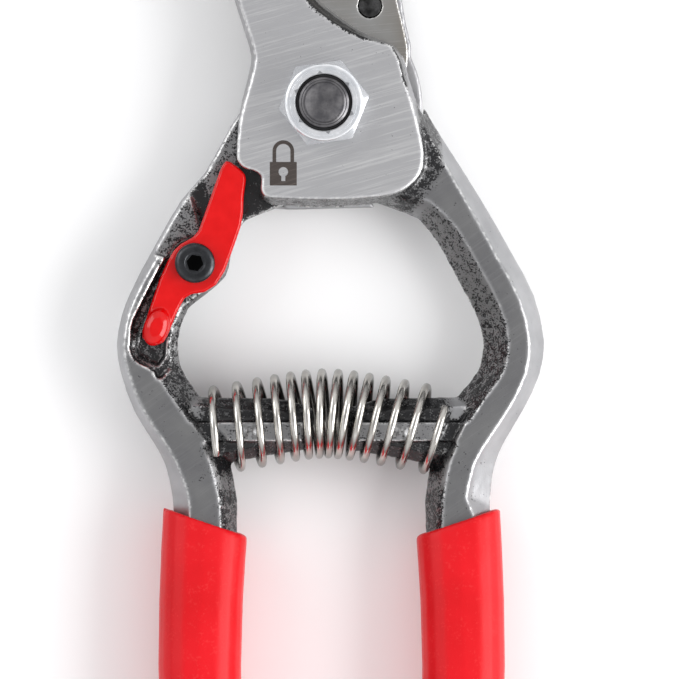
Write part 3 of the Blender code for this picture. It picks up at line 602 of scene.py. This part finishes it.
def drawn_wire():
    """Bright spring wire, with painted shade, in a dark colour, on the lower part of each coil that
    the mesh marks.
    """
    made, tree, shader = new_material("spring_steel", (0.6, 0.58, 0.55), Metallic=1.0)
    patches = smudges(tree, cells_per_mm=0.25)
    colour = blend(tree, patches, *WIRE_GREYS)
    colour = blend(tree, attribute(tree, "painted_shade"), colour, WIRE_SPRING_SHADE)
    rough = blend_value(tree, patches, 0.22, 0.14)
    feed(tree, shader, Base_Color=colour, Roughness=rough)
    grain = grains(tree, cells_per_mm=3.0, cover=0.12)
    bump(tree, shader, grain["Height"], depth=0.01, strength=0.4)
    return made


ENAMEL_REDS = (0.58, 0.0, 0.0005), (0.64, 0.0005, 0.001)


def red_enamel():
    """Glossy red paint, a little wavy."""
    made, tree, shader = new_material("red_enamel", (0.6, 0.001, 0.001), Roughness=0.3,
                                      Specular_IOR_Level=0.0, Coat_Roughness=0.07)
    patches = smudges(tree, cells_per_mm=0.4)
    coat = blend_value(tree, patches, 0.8, 0.95)
    feed(tree, shader, Base_Color=blend(tree, patches, *ENAMEL_REDS), Coat_Weight=coat)
    grain = grains(tree, cells_per_mm=1.2, cover=0.1)
    bump(tree, shader, grain["Height"], depth=0.03, strength=0.3)
    return made


VINYL_REDS = (0.6, 0.002, 0.006), (0.68, 0.004, 0.01)
VINYL_GRAIN = (0.75, 0.04, 0.04)


def red_vinyl():
    """Dipped vinyl: satin, finely grained, a little darker in patches."""
    made, tree, shader = new_material("red_vinyl", (0.65, 0.004, 0.008), Specular_IOR_Level=0.25)
    grain = grains(tree, cells_per_mm=2.0, cover=0.3)
    colour = blend(tree, smudges(tree, cells_per_mm=0.08), *VINYL_REDS)
    colour = blend(tree, some_of(tree, grain["Mask"], 0.25), colour, VINYL_GRAIN)
    rough = blend_value(tree, grain["Mask"], 0.42, 0.52)
    feed(tree, shader, Base_Color=colour, Roughness=rough)
    bump(tree, shader, grain["Height"], depth=0.06, strength=0.6)
    return made


SHADE_RING_BLACKS = (0.006, 0.006, 0.007), (0.016, 0.016, 0.018)


def shade_ring_black():
    """Dull black with a faint grain, for the ring of painted shade in the nut."""
    made, tree, shader = new_material("shade_ring_black", (0.008, 0.008, 0.009))
    grain = grains(tree, cells_per_mm=2.5, cover=0.3)
    rough = blend_value(tree, grain["Mask"], 0.5, 0.4)
    feed(tree, shader, Base_Color=blend(tree, grain["Mask"], *SHADE_RING_BLACKS), Roughness=rough)
    bump(tree, shader, grain["Height"], depth=0.02, strength=0.4)
    return made


INK_BROWNS = (0.035, 0.026, 0.022), (0.16, 0.13, 0.12)


def mark_ink():
    """Matt dark print, thin enough for the grinding lines to show through a little."""
    made, tree, shader = new_material("mark_ink", (0.05, 0.04, 0.035))
    strokes = lines(tree, degrees=GRINDING_TURN, stretch=0.05, cells_per_mm=2.4)["Mask"]
    colour = blend(tree, some_of(tree, strokes, 0.4), *INK_BROWNS)
    feed(tree, shader, Base_Color=colour, Roughness=blend_value(tree, strokes, 0.55, 0.4))
    return made


FORGED = forged_steel()
BLADE = brushed_blade()
ZINC = plated("zinc_plate", (0.95, 0.96, 0.98), dark=(0.74, 0.76, 0.79), roughness=0.14,
              grain_depth=0.012, metallic=0.72)
DARK = plated("dark_steel", (0.21, 0.205, 0.21), dark=(0.1, 0.098, 0.105), roughness=0.35,
              grain_depth=0.06)
OXIDE = plated("black_oxide", (0.075, 0.078, 0.084), dark=(0.035, 0.036, 0.039), roughness=0.26,
               grain_depth=0.02)
BLACKENED = plated("blackened_steel", (0.1, 0.1, 0.1), dark=(0.02, 0.02, 0.02), roughness=0.34,
                   grain_depth=0.06)
WIRE = drawn_wire()
ENAMEL = red_enamel()
VINYL = red_vinyl()
SHADE_RING = shade_ring_black()
INK = mark_ink()


# The two forgings. "below" is how far a place lies from the pivot towards the grips. A pair of
# numbers is where a mark starts and where it is full; a second pair, where it fades and is gone.

FORGING_CELL = 0.38
FORGING_ROUNDS = 4
HORN_LEVEL = 59.5
HORN_ROOTS = {-1: (26.1, 0.75), 1: (27.6, 0.5)}  # inner edge of each arm at its horn, and its slope
HORN_LENGTH = (21.5, 26.5)
HORN_SPAN = ((51, 56), (69, 75))
HORN_END_SPAN = ((55, 57), (67, 69))
HORN_END = (-0.2, 0.4)
ROOT_SPAN = ((57.5, 59.5), (65.5, 67.5))
ROOT_LENGTH = ((0.0, 0.9), (3.0, 4.8))
ROOT_DIP = 1.3
RECESS_TOP = (-24.6, -15.5)
RECESS_END = (-21.6, -23.0)
RECESS_BY_PLATE = (-18, -15.5)
RECESS_LOW_END = (38, 41)
RECESS_BOTTOM = 53
PLATE_SIDE = ((19.6, 0.0), (20.6, -13.0))
PLATE_CORNER = ((20.6, -13.0), (15.5, -19.0))
PLATE_EDGE_SPAN = ((15, 17), (22, 23))
PLATE_EDGE_WIDTH = (15, 18)
SHADE_WIDTH = 3.2
HOOK_START = (1, 4)
ARM_START = (17, 21)
ARM_DEEP = (34, 54)
RING_SPAN = ((9.8, 10.6), (11, 11.4))
RING_SIDE = (2, 8)
WORN_ABOVE = (8.2, 9.5)
LEVEL = (0.93, 0.98)
GROUND_LEVEL = (0.9, 0.98)
NEARLY_LEVEL = (0.7, 0.9)
SLANTING = ((0.15, 0.3), (0.9, 0.96))
NOT_HANGING = (-0.2, 0.2)
ROUGHNESS_SIZE = 1.1
SMOOTH_DEPTH = 0.03
SCALY_DEPTH = 0.06
SCALY_COVER = (0.3, 0.7)
TOO_SMALL = 1e-4
SCALE_AND_SHADE_COVER = {  # how black each place is, from 0 to 1: black scale, and painted shade in the recesses, hollow corners, horn grooves and roots, beside and under the plate and on the hook's bevel
    "anywhere": 0.04,
    "arm face": 0.1,
    "ground face": 0.03,
    "ring by the nut": 0.12,
    "inner side": 0.46,
    "inner side, deeper": 0.22,
    "horn": 0.8,
    "horn, less on its rib": 0.46,
    "horn's root": 0.85,
    "hollow corner": 0.95,
    "recess": 0.48,
    "recess by the plate": 0.95,
    "recess wall": 0.9,
    "recess end": 0.72,
    "beside the plate": 0.72,
    "under the plate": 0.58,
    "bevel of the hook": 0.98,
}


class Surface:
    """Places and normals of a forging's vertices. Side is -1 for the left one, 1 for the right."""

    def __init__(self, obj, side):
        self.side = side
        self.places = vertex_rows(obj, "co") / MM
        self.x, self.y, self.z = self.places.T
        self.below = -self.y
        normals = vertex_rows(obj, "normal")
        self.up = normals[:, 2]
        self.outward = normals[:, 0] * side
        edge_x, slope = HORN_ROOTS[side]
        self.inside = edge_x - (self.below - HORN_LEVEL) * slope - self.x * side


def near_face(s, face, gone, full):
    """1 nearer to a face's height than full, 0 further under it than gone."""
    return step(s.z, face - gone, face - full)


def horn_root(s):
    """Where a horn runs into its arm."""
    return (within(s.inside, *ROOT_LENGTH) * within(s.below, *ROOT_SPAN)
            * near_face(s, ARM_FACE, 2.5, 1.0))


def horn_part(s):
    return within(s.below, *HORN_SPAN) * fade(s.side * s.x, *HORN_LENGTH)


def ground_faces(s):
    """The top of the hook plate."""
    return near_face(s, PLATE_TOP, 0.25, 0.1) * step(s.up, *GROUND_LEVEL)


def arm_faces(s):
    """The flat tops of the arms, apart from the horns."""
    horn_end = step(s.inside, *HORN_END) * within(s.below, *HORN_END_SPAN)
    return (step(s.up, *LEVEL) * near_face(s, ARM_FACE, 0.3, 0.15)
            * (1 - ground_faces(s)) * (1 - horn_end))


def recess_floor(s):
    """The level places that lie lower than the arms' faces."""
    return (step(s.up, *NEARLY_LEVEL) * (s.z > ARM_MIDDLE)
            * (1 - near_face(s, ARM_FACE, 0.6, 0.35)) * (s.below < RECESS_BOTTOM))


def left_shade_and_scale(s):
    """Painted shade, drawn as black scale with its grains, in the recess for the lever: by the plate,
    along its outer wall and at its end.
    """
    floor = recess_floor(s)
    wall = along(s.x, s.y, RECESS_TOP, RECESS_END, SHADE_WIDTH)
    return [
        SCALE_AND_SHADE_COVER["recess by the plate"] * floor * step(s.x, *RECESS_BY_PLATE),
        SCALE_AND_SHADE_COVER["recess wall"] * floor * wall,
        SCALE_AND_SHADE_COVER["recess end"] * floor * step(s.below, *RECESS_LOW_END),
    ]


def right_shade_and_scale(s):
    """Painted shade, drawn as black scale with its grains, beside the plate's corner, under its lower
    edge, and on the bevel of the hook.
    """
    under = 1 - near_face(s, PLATE_TOP, 0.5, 0.3)
    corner = np.maximum(along(s.x, s.y, *PLATE_SIDE, SHADE_WIDTH),
                        along(s.x, s.y, *PLATE_CORNER, SHADE_WIDTH))
    edge = within(s.below, *PLATE_EDGE_SPAN) * fade(s.x, *PLATE_EDGE_WIDTH)
    bevel = step(s.y, *HOOK_START) * step(s.outward, 0.1, 0.25) * within(s.up, *SLANTING)
    return [
        SCALE_AND_SHADE_COVER["beside the plate"] * corner * under * step(s.up, -0.2, 0.1),
        SCALE_AND_SHADE_COVER["under the plate"] * under * edge,
        SCALE_AND_SHADE_COVER["bevel of the hook"] * bevel * near_face(s, PLATE_TOP, 3.2, 2.8),
    ]


def rubbed_ring(s):
    """A faint dark ring beside the nut."""
    return within(np.hypot(s.x, s.y), *RING_SPAN) * step(s.x + s.y, *RING_SIDE)


def scale_and_shade_cover(s, root, corner):
    """How black the surface is, from 0 to 1: black scale, and painted shade in recesses, hollow
    corners, the horns' grooves and roots, and by and under the plate.
    """
    horn = horn_part(s)
    horn_top = SCALE_AND_SHADE_COVER["horn"] - SCALE_AND_SHADE_COVER["horn, less on its rib"] * near_face(s, ARM_FACE, 1.4, 0.4)
    inner = step(-s.outward, 0.2, 0.45) * step(s.below, *ARM_START)
    deep = SCALE_AND_SHADE_COVER["inner side"] + SCALE_AND_SHADE_COVER["inner side, deeper"] * step(s.below, *ARM_DEEP)
    cover = np.maximum.reduce((left_shade_and_scale(s) if s.side < 0 else right_shade_and_scale(s)) + [
        horn * horn_top * step(s.up, *NOT_HANGING),
        # Horn faces turned away from above get full black: painted shade.
        horn * fade(s.up, -0.1, 0.3),
        inner * deep * (1 - horn),
        SCALE_AND_SHADE_COVER["recess"] * recess_floor(s),
        SCALE_AND_SHADE_COVER["horn's root"] * root,
        SCALE_AND_SHADE_COVER["hollow corner"] * corner,
        SCALE_AND_SHADE_COVER["arm face"] * arm_faces(s),
        np.full_like(s.x, SCALE_AND_SHADE_COVER["anywhere"]),
    ])
    clean = SCALE_AND_SHADE_COVER["ground face"] + SCALE_AND_SHADE_COVER["ring by the nut"] * rubbed_ring(s) * (s.side > 0)
    return np.where(ground_faces(s) > 0.5, clean, cover)


def roughen(obj, strength, size, seed):
    """Moves vertices along their normals by smooth noise, where strength says, in millimetres."""
    places = vertex_rows(obj, "co")
    normals = vertex_rows(obj, "normal")
    moved = places.copy()
    shift = Vector((seed, 0, 0))
    for i in np.nonzero(strength > TOO_SMALL)[0]:
        value = noise.noise(Vector(places[i]) / (size * MM) + shift)
        moved[i] += normals[i] * value * strength[i] * MM
    obj.data.vertices.foreach_set("co", moved.ravel())
    obj.data.update()


def forging(node, name, side, body):
    """A forging with its surface marked: ground faces, arm faces, black scale with painted shade, and
    worn edges that are partly painted highlight.
    """
    obj = remeshed(node, name, FORGING_CELL, FORGING_ROUNDS)
    s = Surface(obj, side)
    root = horn_root(s)
    s.places[:, 2] -= ROOT_DIP * root
    obj.data.vertices.foreach_set("co", (s.places * MM).ravel())
    obj.data.update()

    edges = edge_rows(obj)
    sharp = edge_sharpness(obj)
    # Painted shade in hollow corners: concave places, spread wide, are marked for black.
    corner = np.clip(spread(-sharp, edges, 6) * 2.2, 0, 1)
    ground, flat = ground_faces(s), arm_faces(s)
    cover = scale_and_shade_cover(s, root, corner)
    store(obj, "ground", spread(ground, edges, 1))
    store(obj, "flat", spread(flat, edges, 1))
    # Black scale and painted shade, in one mask.
    store(obj, "scale", spread(cover, edges, 2))
    # Worn edges, which also stand for the edges' highlights: partly painted highlight.
    worn = np.clip(sharp * 0.5, 0, 1) * (1 - 0.3 * horn_part(s))
    store(obj, "edge", worn * step(s.z, *WORN_ABOVE))

    depth = SMOOTH_DEPTH + SCALY_DEPTH * step(cover, *SCALY_COVER)
    roughen(obj, depth * (1 - ground) * (1 - flat), ROUGHNESS_SIZE, side * 7.0)
    smooth(obj, WORN_ANGLE)
    finish(obj, body, "forged_steel", FORGED, node)


forging("blade_handle", "left_forging", -1, "blade_side")
forging("hook_handle", "right_forging", 1, "hook_side")


# Blade and rivet. Each pair in a profile is an inset's width and its rise.

BLADE_CELL = 0.25
BLADE_ROUNDS = 2
BLADE_EDGE_WEAR = 0.3
RIVET_RADIUS = 2.1
RIVET_HEAD_HEIGHT = 0.8
RIVET_SIDES = 48
RIVET_DISH = [(0.12, 0.0), (0.25, -0.02), (0.5, -0.12), (0.5, -0.04), (0.4, 0.03)]
RIVET_DOME = [(0.5, 0.0), (0.8, 0.12), (0.9, 0.05)]
RIVET_ROUND = 0.08


def make_blade():
    obj = remeshed("cutting_blade", "ground_blade", BLADE_CELL, BLADE_ROUNDS)
    store(obj, "edge", np.clip(edge_sharpness(obj) * BLADE_EDGE_WEAR, 0, 1))
    smooth(obj, WORN_ANGLE)
    finish(obj, "blade_side", "blade_steel", BLADE, "cutting_blade")


def make_rivet():
    """A peened pin: its end is dished, its head at the back is round."""
    low, high = low_of("blade_rivet"), high_of("blade_rivet")
    centre = middle_of("blade_rivet")
    neck = low.z + RIVET_HEAD_HEIGHT
    obj = cylinder("peened_rivet", RIVET_RADIUS, neck, high.z, centre, RIVET_SIDES)
    terraces(obj, facing_up(high.z), RIVET_DISH)
    head = cylinder("rivet_head", (high.x - low.x) / 2, low.z, neck, centre, RIVET_SIDES)
    terraces(head, facing_down(low.z), RIVET_DOME)
    cut(obj, "UNION", head)
    rounded(obj, RIVET_ROUND)
    finish(obj, "blade_side", "dark_steel", BLACKENED, "blade_rivet")


make_blade()
make_rivet()


# Pivot bolt and nut. Heights of the bolt are from the back of its head.

BOLT_RADIUS = 4.75
BOLT_SHANK_START = 2.5
BOLT_END_HEIGHT = 0.75
BOLT_END_RINGS = [(0.4, 0.25), (0.12, -0.12), (0.35, 0.22), (0.18, 0.4), (0.16, 0.0), (0.2, -0.1)]
BOLT_HEAD_DOME = 0.9
BOLT_HEAD_TOP = 3.0
BOLT_HEAD_RINGS = [(0.35, 0.5), (0.65, 0.4), (3.2, 0.0), (0.3, -0.15), (2.4, -0.05)]
NECK_BOTTOM, NECK_TOP = 2.0, 7.4
BOLT_ROUND = 0.25

NUT_FLATS = 15.0
NUT_TURN = math.radians(38)
NUT_CORNER = NUT_FLATS / 2 / math.cos(math.pi / 6)
NUT_TURNED = NUT_CORNER - 0.08
NUT_TOP_CHAMFER = 0.9
NUT_BOTTOM_CHAMFER = 0.8
NUT_ROUND = 0.09
NUT_ROUND_ANGLE = 25
COLLAR_RADIUS = 7.35
COLLAR_HEIGHT = 1.1
COLLAR_SHOULDER = 0.35
COLLAR_OUTSIDE = [(0, COLLAR_HEIGHT - COLLAR_SHOULDER), (0.2, 0.25), (0.3, 0.1)]
COLLAR_GROOVE = [(0.35, 0.0), (0.06, -0.1), (0.12, 0.0), (0.06, 0.1)]
COLLAR_LIP = [(0.2, -0.15), (0, -1.2)]
RECESS_RADIUS = 5.4
NOTCH_COUNT = 6
NOTCH_SIZE = 0.8
NOTCH_OFFSET = 0.1
NOTCH_RIM = 0.12  # this much of a notch stays bright
BORE_CLEARANCE = 0.15

RING_BOTTOM, RING_TOP = 1.6, 0.9  # below the top of the nut
RING_CLEARANCE = 0.02
RING_GRIP_CLEARANCE = 0.08
RING_CROWN = [(0.15, 0.08), (0.2, 0.0)]
RING_ROUND = 0.05


def make_nut():
    """A hexagon chamfered at both ends, with a turned collar notched round its inner edge."""
    low, high = low_of("pivot_nut").z, high_of("pivot_nut").z
    shoulder = high - COLLAR_HEIGHT
    inset = NUT_TURNED - COLLAR_RADIUS
    top, bottom = shoulder - NUT_TOP_CHAMFER, low + NUT_BOTTOM_CHAMFER
    turned = cylinder("nut_turning", NUT_TURNED, bottom, top, sides=128)
    terraces(turned, facing_up(top), [(inset, NUT_TOP_CHAMFER)])
    terraces(turned, facing_down(bottom), [(inset, NUT_BOTTOM_CHAMFER)])
    obj = cylinder("lock_nut", NUT_CORNER, low - SPARE, high + SPARE, sides=6,
                   turn=NUT_TURN)
    cut(obj, "INTERSECT", turned)
    shaped = sum(width for width, _ in COLLAR_OUTSIDE + COLLAR_GROOVE + COLLAR_LIP)
    level = (COLLAR_RADIUS - RECESS_RADIUS - shaped, 0.0)
    terraces(obj, facing_up(shoulder), [*COLLAR_OUTSIDE, *COLLAR_GROOVE, level, *COLLAR_LIP])
    bore = cylinder("bore", BOLT_RADIUS + BORE_CLEARANCE, low - SPARE, high + SPARE)
    cut(obj, "DIFFERENCE", bore)
    reach = RECESS_RADIUS + NOTCH_OFFSET
    for i in range(NOTCH_COUNT):
        angle = NUT_TURN + i * math.tau / NOTCH_COUNT
        place = (reach * math.cos(angle), reach * math.sin(angle), high)
        turn = (0, 0, angle + math.radians(45))
        cut(obj, "DIFFERENCE", primitive("cube", "notch", place, turn, size=NOTCH_SIZE))
    rounded(obj, NUT_ROUND, NUT_ROUND_ANGLE)
    # Painted shade in the collar's recess and its notches.
    darken_painted_shade(obj, (0, 0), RECESS_RADIUS + NOTCH_SIZE, high - NOTCH_RIM)
    finish(obj, "blade_side", "zinc_plate", ZINC, "pivot_nut")


def make_shade_ring():
    """A black ring in the collar's recess: painted shade for the shadow round the bolt's end."""
    high = high_of("pivot_nut").z
    obj = cylinder("shade_ring", RECESS_RADIUS - RING_CLEARANCE, high - RING_BOTTOM,
                   high - RING_TOP)
    terraces(obj, facing_up(high - RING_TOP), RING_CROWN)
    bore = cylinder("bore", BOLT_RADIUS + RING_GRIP_CLEARANCE, high - RING_BOTTOM - SPARE,
                    high + SPARE)
    cut(obj, "DIFFERENCE", bore)
    rounded(obj, RING_ROUND)
    finish(obj, "blade_side", "black_oxide", SHADE_RING)


def make_bolt():
    """A low round head with a faint dish, a square neck, and a chamfered end."""
    low, high = low_of("pivot_bolt"), high_of("pivot_bolt")
    end = high.z - BOLT_END_HEIGHT
    obj = cylinder("pivot_bolt_turned", BOLT_RADIUS, low.z + BOLT_SHANK_START, end)
    terraces(obj, facing_up(end), BOLT_END_RINGS)
    dome = low.z + BOLT_HEAD_DOME
    head = cylinder("head", (high.x - low.x) / 2, dome, low.z + BOLT_HEAD_TOP)
    terraces(head, facing_down(dome), BOLT_HEAD_RINGS)
    neck = cylinder("neck", BOLT_RADIUS * math.sqrt(2), low.z + NECK_BOTTOM, low.z + NECK_TOP,
                    sides=4, turn=math.radians(45))
    cut(obj, "UNION", head, neck)
    rounded(obj, BOLT_ROUND)
    finish(obj, "blade_side", "dark_steel", DARK, "pivot_bolt")


make_nut()
make_shade_ring()
make_bolt()


# Lock lever, its screw and its washer. Heights of the screw are from the top of its head.

LEVER_CELL = 0.15
LEVER_ROUNDS = 14
SCREW_SHANK_RADIUS = 2.3
SCREW_SHANK_TOP = 2.3
SCREW_HEAD_BOTTOM = 2.5
SCREW_HEAD_SHOULDER = 0.7
SCREW_HEAD_RINGS = [(0.12, 0.3), (0.3, 0.25), (0.5, 0.15), (0.9, 0.0), (0.12, -0.12)]
SCREW_ROUND = 0.06
SCREW_ROUND_ANGLE = 28
SOCKET_FLATS = 2.9
SOCKET_DEPTH = 2.0
SOCKET_TURN = math.radians(20)
SOCKET_REACH = 1.75
SOCKET_RIM = 0.25


def make_lever():
    obj = remeshed("lock_lever", "red_lever", LEVER_CELL, LEVER_ROUNDS)
    smooth(obj, WORN_ANGLE)
    finish(obj, "lock", "red_enamel", ENAMEL, "lock_lever")


def make_screw():
    """A cap screw: rounded head, ring round a hexagon socket."""
    low, high = low_of("lock_screw"), high_of("lock_screw")
    place = middle_of("lock_screw")
    shoulder = high.z - SCREW_HEAD_SHOULDER
    obj = cylinder("cap_screw", SCREW_SHANK_RADIUS, low.z, high.z - SCREW_SHANK_TOP, place, 64)
    head = cylinder("screw_head", (high.x - low.x) / 2, high.z - SCREW_HEAD_BOTTOM, shoulder, place)
    terraces(head, facing_up(shoulder), SCREW_HEAD_RINGS)
    cut(obj, "UNION", head)
    corner = SOCKET_FLATS / 2 / math.cos(math.pi / 6)
    socket = cylinder("socket", corner, high.z - SOCKET_DEPTH, high.z + SPARE, place, 6,
                      SOCKET_TURN)
    cut(obj, "DIFFERENCE", socket)
    rounded(obj, SCREW_ROUND, SCREW_ROUND_ANGLE)
    # Painted shade inside the hexagon socket.
    darken_painted_shade(obj, place, SOCKET_REACH, high.z - SOCKET_RIM)
    finish(obj, "blade_side", "black_oxide", OXIDE, "lock_screw")


make_lever()
make_screw()
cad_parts["lock_washer"].data.materials.clear()
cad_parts["lock_washer"].data.materials.append(WIRE)


# Return spring

WIRE_RADIUS = 0.75
COIL_RADIUS = 7.85
SPRING_TURNS = 13.2
STEPS_PER_TURN = 44
SPRING_SPAN = 43.4
SPRING_TOP = (0.4, -59.0)
SPRING_SLOPE = 0.2
SPRING_CROWN = 1.0
SPRING_START_TURN = math.radians(125)
SPRING_UNEVENNESS = 0.27
WIRE_END_ROUND = 0.15
WIRE_MERGE_DISTANCE = 0.001
WIRE_END_ANGLE = 60
SPRING_SHADE = 0.72
SPRING_SHADE_FULL = 0.3  # height above the middle of the coil where the painted shade is full
SPRING_SHADE_START = COIL_RADIUS - 1.2


def spring_point(share):
    """Middle of the wire, at a share of the spring's length from its left end."""
    even = 2 * share - 1
    x = SPRING_SPAN / 2 * (even * (1 - SPRING_UNEVENNESS) + SPRING_UNEVENNESS * even ** 3)
    fall = math.hypot(SPRING_SLOPE * x, SPRING_CROWN)
    point = Vector((SPRING_TOP[0] + x, SPRING_TOP[1] + SPRING_CROWN - fall))
    up = Vector((SPRING_SLOPE ** 2 * x / fall, 1)).normalized()
    turn = SPRING_START_TURN - math.tau * SPRING_TURNS * share
    flat = point + up * (COIL_RADIUS * math.cos(turn))
    return Vector((flat.x, flat.y, ARM_MIDDLE + COIL_RADIUS * math.sin(turn)))


def make_spring():
    """Wire swept along the coil; its cut ends are slightly rounded."""
    steps = round(SPRING_TURNS * STEPS_PER_TURN)
    curve = bpy.data.curves.new("coil_spring", "CURVE")
    curve.dimensions = "3D"
    curve.bevel_depth = WIRE_RADIUS * MM
    curve.bevel_resolution = 4
    curve.use_fill_caps = True
    spline = curve.splines.new("POLY")
    spline.points.add(steps)
    for i in range(steps + 1):
        spline.points[i].co = (*(spring_point(i / steps) * MM), 1)
    obj = bpy.data.objects.new("coil_spring", curve)
    bpy.context.scene.collection.objects.link(obj)
    only(obj)
    bpy.ops.object.convert(target="MESH")
    obj = bpy.context.active_object
    merge_doubles(obj, WIRE_MERGE_DISTANCE)
    rounded(obj, WIRE_END_ROUND, WIRE_END_ANGLE)
    # Painted shade: the lower half of each coil is darkened, fading out towards its top.
    height = vertex_rows(obj, "co")[:, 2] / MM - ARM_MIDDLE
    store(obj, "painted_shade", SPRING_SHADE * fade(height, SPRING_SHADE_FULL, SPRING_SHADE_START))
    obj.data.materials.clear()
    obj.data.materials.append(WIRE)
    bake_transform(obj)
    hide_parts("return_spring")


make_spring()


# Vinyl grips

GRIP_CELL = 0.5
GRIP_ROUNDS = 6


def make_grip(node, name, body):
    obj = remeshed(node, name, GRIP_CELL, GRIP_ROUNDS)
    smooth(obj, WORN_ANGLE)
    finish(obj, body, "red_vinyl", VINYL, node)


make_grip("left_grip", "left_sleeve", "blade_side")
make_grip("right_grip", "right_sleeve", "hook_side")


# Padlock mark on the hook plate

MARK_HEIGHT = 0.04
MARK_SUNK = 0.1  # how far it reaches into the plate
MARK_LEFT, MARK_RIGHT = -10.3, -5.15
MARK_MIDDLE = (MARK_LEFT + MARK_RIGHT) / 2
MARK_TOP, MARK_BOTTOM = -11.2, -15.7
MARK_CORNER = 0.35
SHACKLE_TOP = -7.1
SHACKLE_HALF_WIDTH = 2.05
SHACKLE_WIDTH = 0.7
SHACKLE_SUNK = 0.5  # how far it reaches into the padlock's body
KEYHOLE_Y = -13.1
KEYHOLE_RADIUS = 0.9
KEYSLOT_BOTTOM = -14.85
KEYSLOT_HALF_WIDTH = 0.38


def block(name, left, right, bottom, top, base, height):
    """A box between these sides."""
    centre = ((left + right) / 2, (bottom + top) / 2, (base + height) / 2)
    obj = primitive("cube", name, centre, size=1.0)
    edit_mode(obj, "SELECT")
    bpy.ops.transform.resize(value=(right - left, top - bottom, height - base),
                             center_override=[c * MM for c in centre])
    object_mode()
    return obj


def shackle_shape(name, half_width, base, height):
    """A bar with a round top end, standing on the padlock's body."""
    round_y = SHACKLE_TOP - SHACKLE_HALF_WIDTH
    bar = block(name, MARK_MIDDLE - half_width, MARK_MIDDLE + half_width, MARK_TOP - SHACKLE_SUNK,
                round_y, base, height)
    cut(bar, "UNION", cylinder("round", half_width, base, height, (MARK_MIDDLE, round_y), 48))
    return bar


def make_mark():
    """A plain padlock: body, shackle and keyhole, lying on the ground face."""
    base, top = PLATE_TOP - MARK_SUNK, PLATE_TOP + MARK_HEIGHT
    obj = block("padlock_mark", MARK_LEFT, MARK_RIGHT, MARK_BOTTOM, MARK_TOP, base, top)
    apply(obj, "BEVEL", width=MARK_CORNER * MM, segments=4, limit_method="ANGLE",
          angle_limit=math.radians(60), affect="EDGES")
    loop = shackle_shape("shackle", SHACKLE_HALF_WIDTH, base, top)
    inside = shackle_shape("inside", SHACKLE_HALF_WIDTH - SHACKLE_WIDTH, base - SPARE, top + SPARE)
    cut(loop, "DIFFERENCE", inside)
    cut(obj, "UNION", loop)
    slot = block("keyslot", MARK_MIDDLE - KEYSLOT_HALF_WIDTH, MARK_MIDDLE + KEYSLOT_HALF_WIDTH,
                 KEYSLOT_BOTTOM, KEYHOLE_Y, base - SPARE, top + SPARE)
    keyhole = cylinder("keyhole", KEYHOLE_RADIUS, base - SPARE, top + SPARE,
                       (MARK_MIDDLE, KEYHOLE_Y), 32)
    cut(obj, "DIFFERENCE", keyhole, slot)
    smooth(obj)
    finish(obj, "hook_side", "black_oxide", INK)


make_mark()


# Floor, light and camera. Lights are placed and sized in metres.

FLOOR_PALE = (0.93, 0.93, 0.93)
FLOOR_SIZE = 6000.0
FLOOR_GAP = 0.05
LIT_PLACE = (0, -0.05, 0)
SKY_LOW = (0.22, 0.22, 0.23)
SKY_RING = (0.95, 0.95, 0.96)
SKY_TOP = (0.45, 0.45, 0.46)
RING_RISE = (0.05, 0.6)
TOP_RISE = (0.78, 0.97)
SKY_STRENGTH = 1.07
VIEW_CENTRE = (2.945, -44.935)
VIEW_WIDTH = 129.0
CAMERA_HEIGHT = 3000.0


def make_floor():
    floor_z = low_of("pivot_bolt").z - FLOOR_GAP
    floor = primitive("plane", "floor", (0, -50, floor_z), size=FLOOR_SIZE)
    made, _, _ = new_material("floor_pale", FLOOR_PALE, Roughness=0.9)
    floor.data.materials.append(made)


def area_light(name, place, width, height, power):
    """A soft panel that faces the pruner."""
    data = bpy.data.lights.new(name, "AREA")
    data.shape = "RECTANGLE"
    data.size = width
    data.size_y = height
    data.energy = power
    light = bpy.data.objects.new(name, data)
    light.location = place
    way = Vector(LIT_PLACE) - Vector(place)
    light.rotation_euler = way.to_track_quat("-Z", "Y").to_euler()
    bpy.context.scene.collection.objects.link(light)


def make_world():
    """A soft white sky: brightest in a wide ring, calmer overhead and dim at the horizon."""
    world = bpy.data.worlds.new("studio")
    bpy.context.scene.world = world
    world.use_nodes = True
    tree = world.node_tree
    way = add_node(tree, "ShaderNodeTexCoord").outputs["Generated"]
    height = add_node(tree, "ShaderNodeSeparateXYZ", {"Vector": way}).outputs["Z"]
    ring = blend(tree, ramp(tree, height, *RING_RISE), SKY_LOW, SKY_RING)
    colour = blend(tree, ramp(tree, height, *TOP_RISE), ring, SKY_TOP)
    sky = tree.nodes["Background"]
    sky.inputs["Strength"].default_value = SKY_STRENGTH
    feed(tree, sky, Color=colour)


def make_camera():
    data = bpy.data.cameras.new("camera")
    camera = bpy.data.objects.new("camera", data)
    camera.location = (VIEW_CENTRE[0] * MM, VIEW_CENTRE[1] * MM, CAMERA_HEIGHT * MM)
    data.lens = data.sensor_width * (CAMERA_HEIGHT - ARM_FACE) / VIEW_WIDTH
    data.clip_start = 0.01
    bpy.context.scene.collection.objects.link(camera)
    bpy.context.scene.camera = camera


make_floor()
area_light("key_panel", (1.0, -0.3, 0.6), width=1.0, height=0.9, power=15)
area_light("fill_panel", (-1.0, 0.5, 0.9), width=0.8, height=0.8, power=5)
make_world()
make_camera()
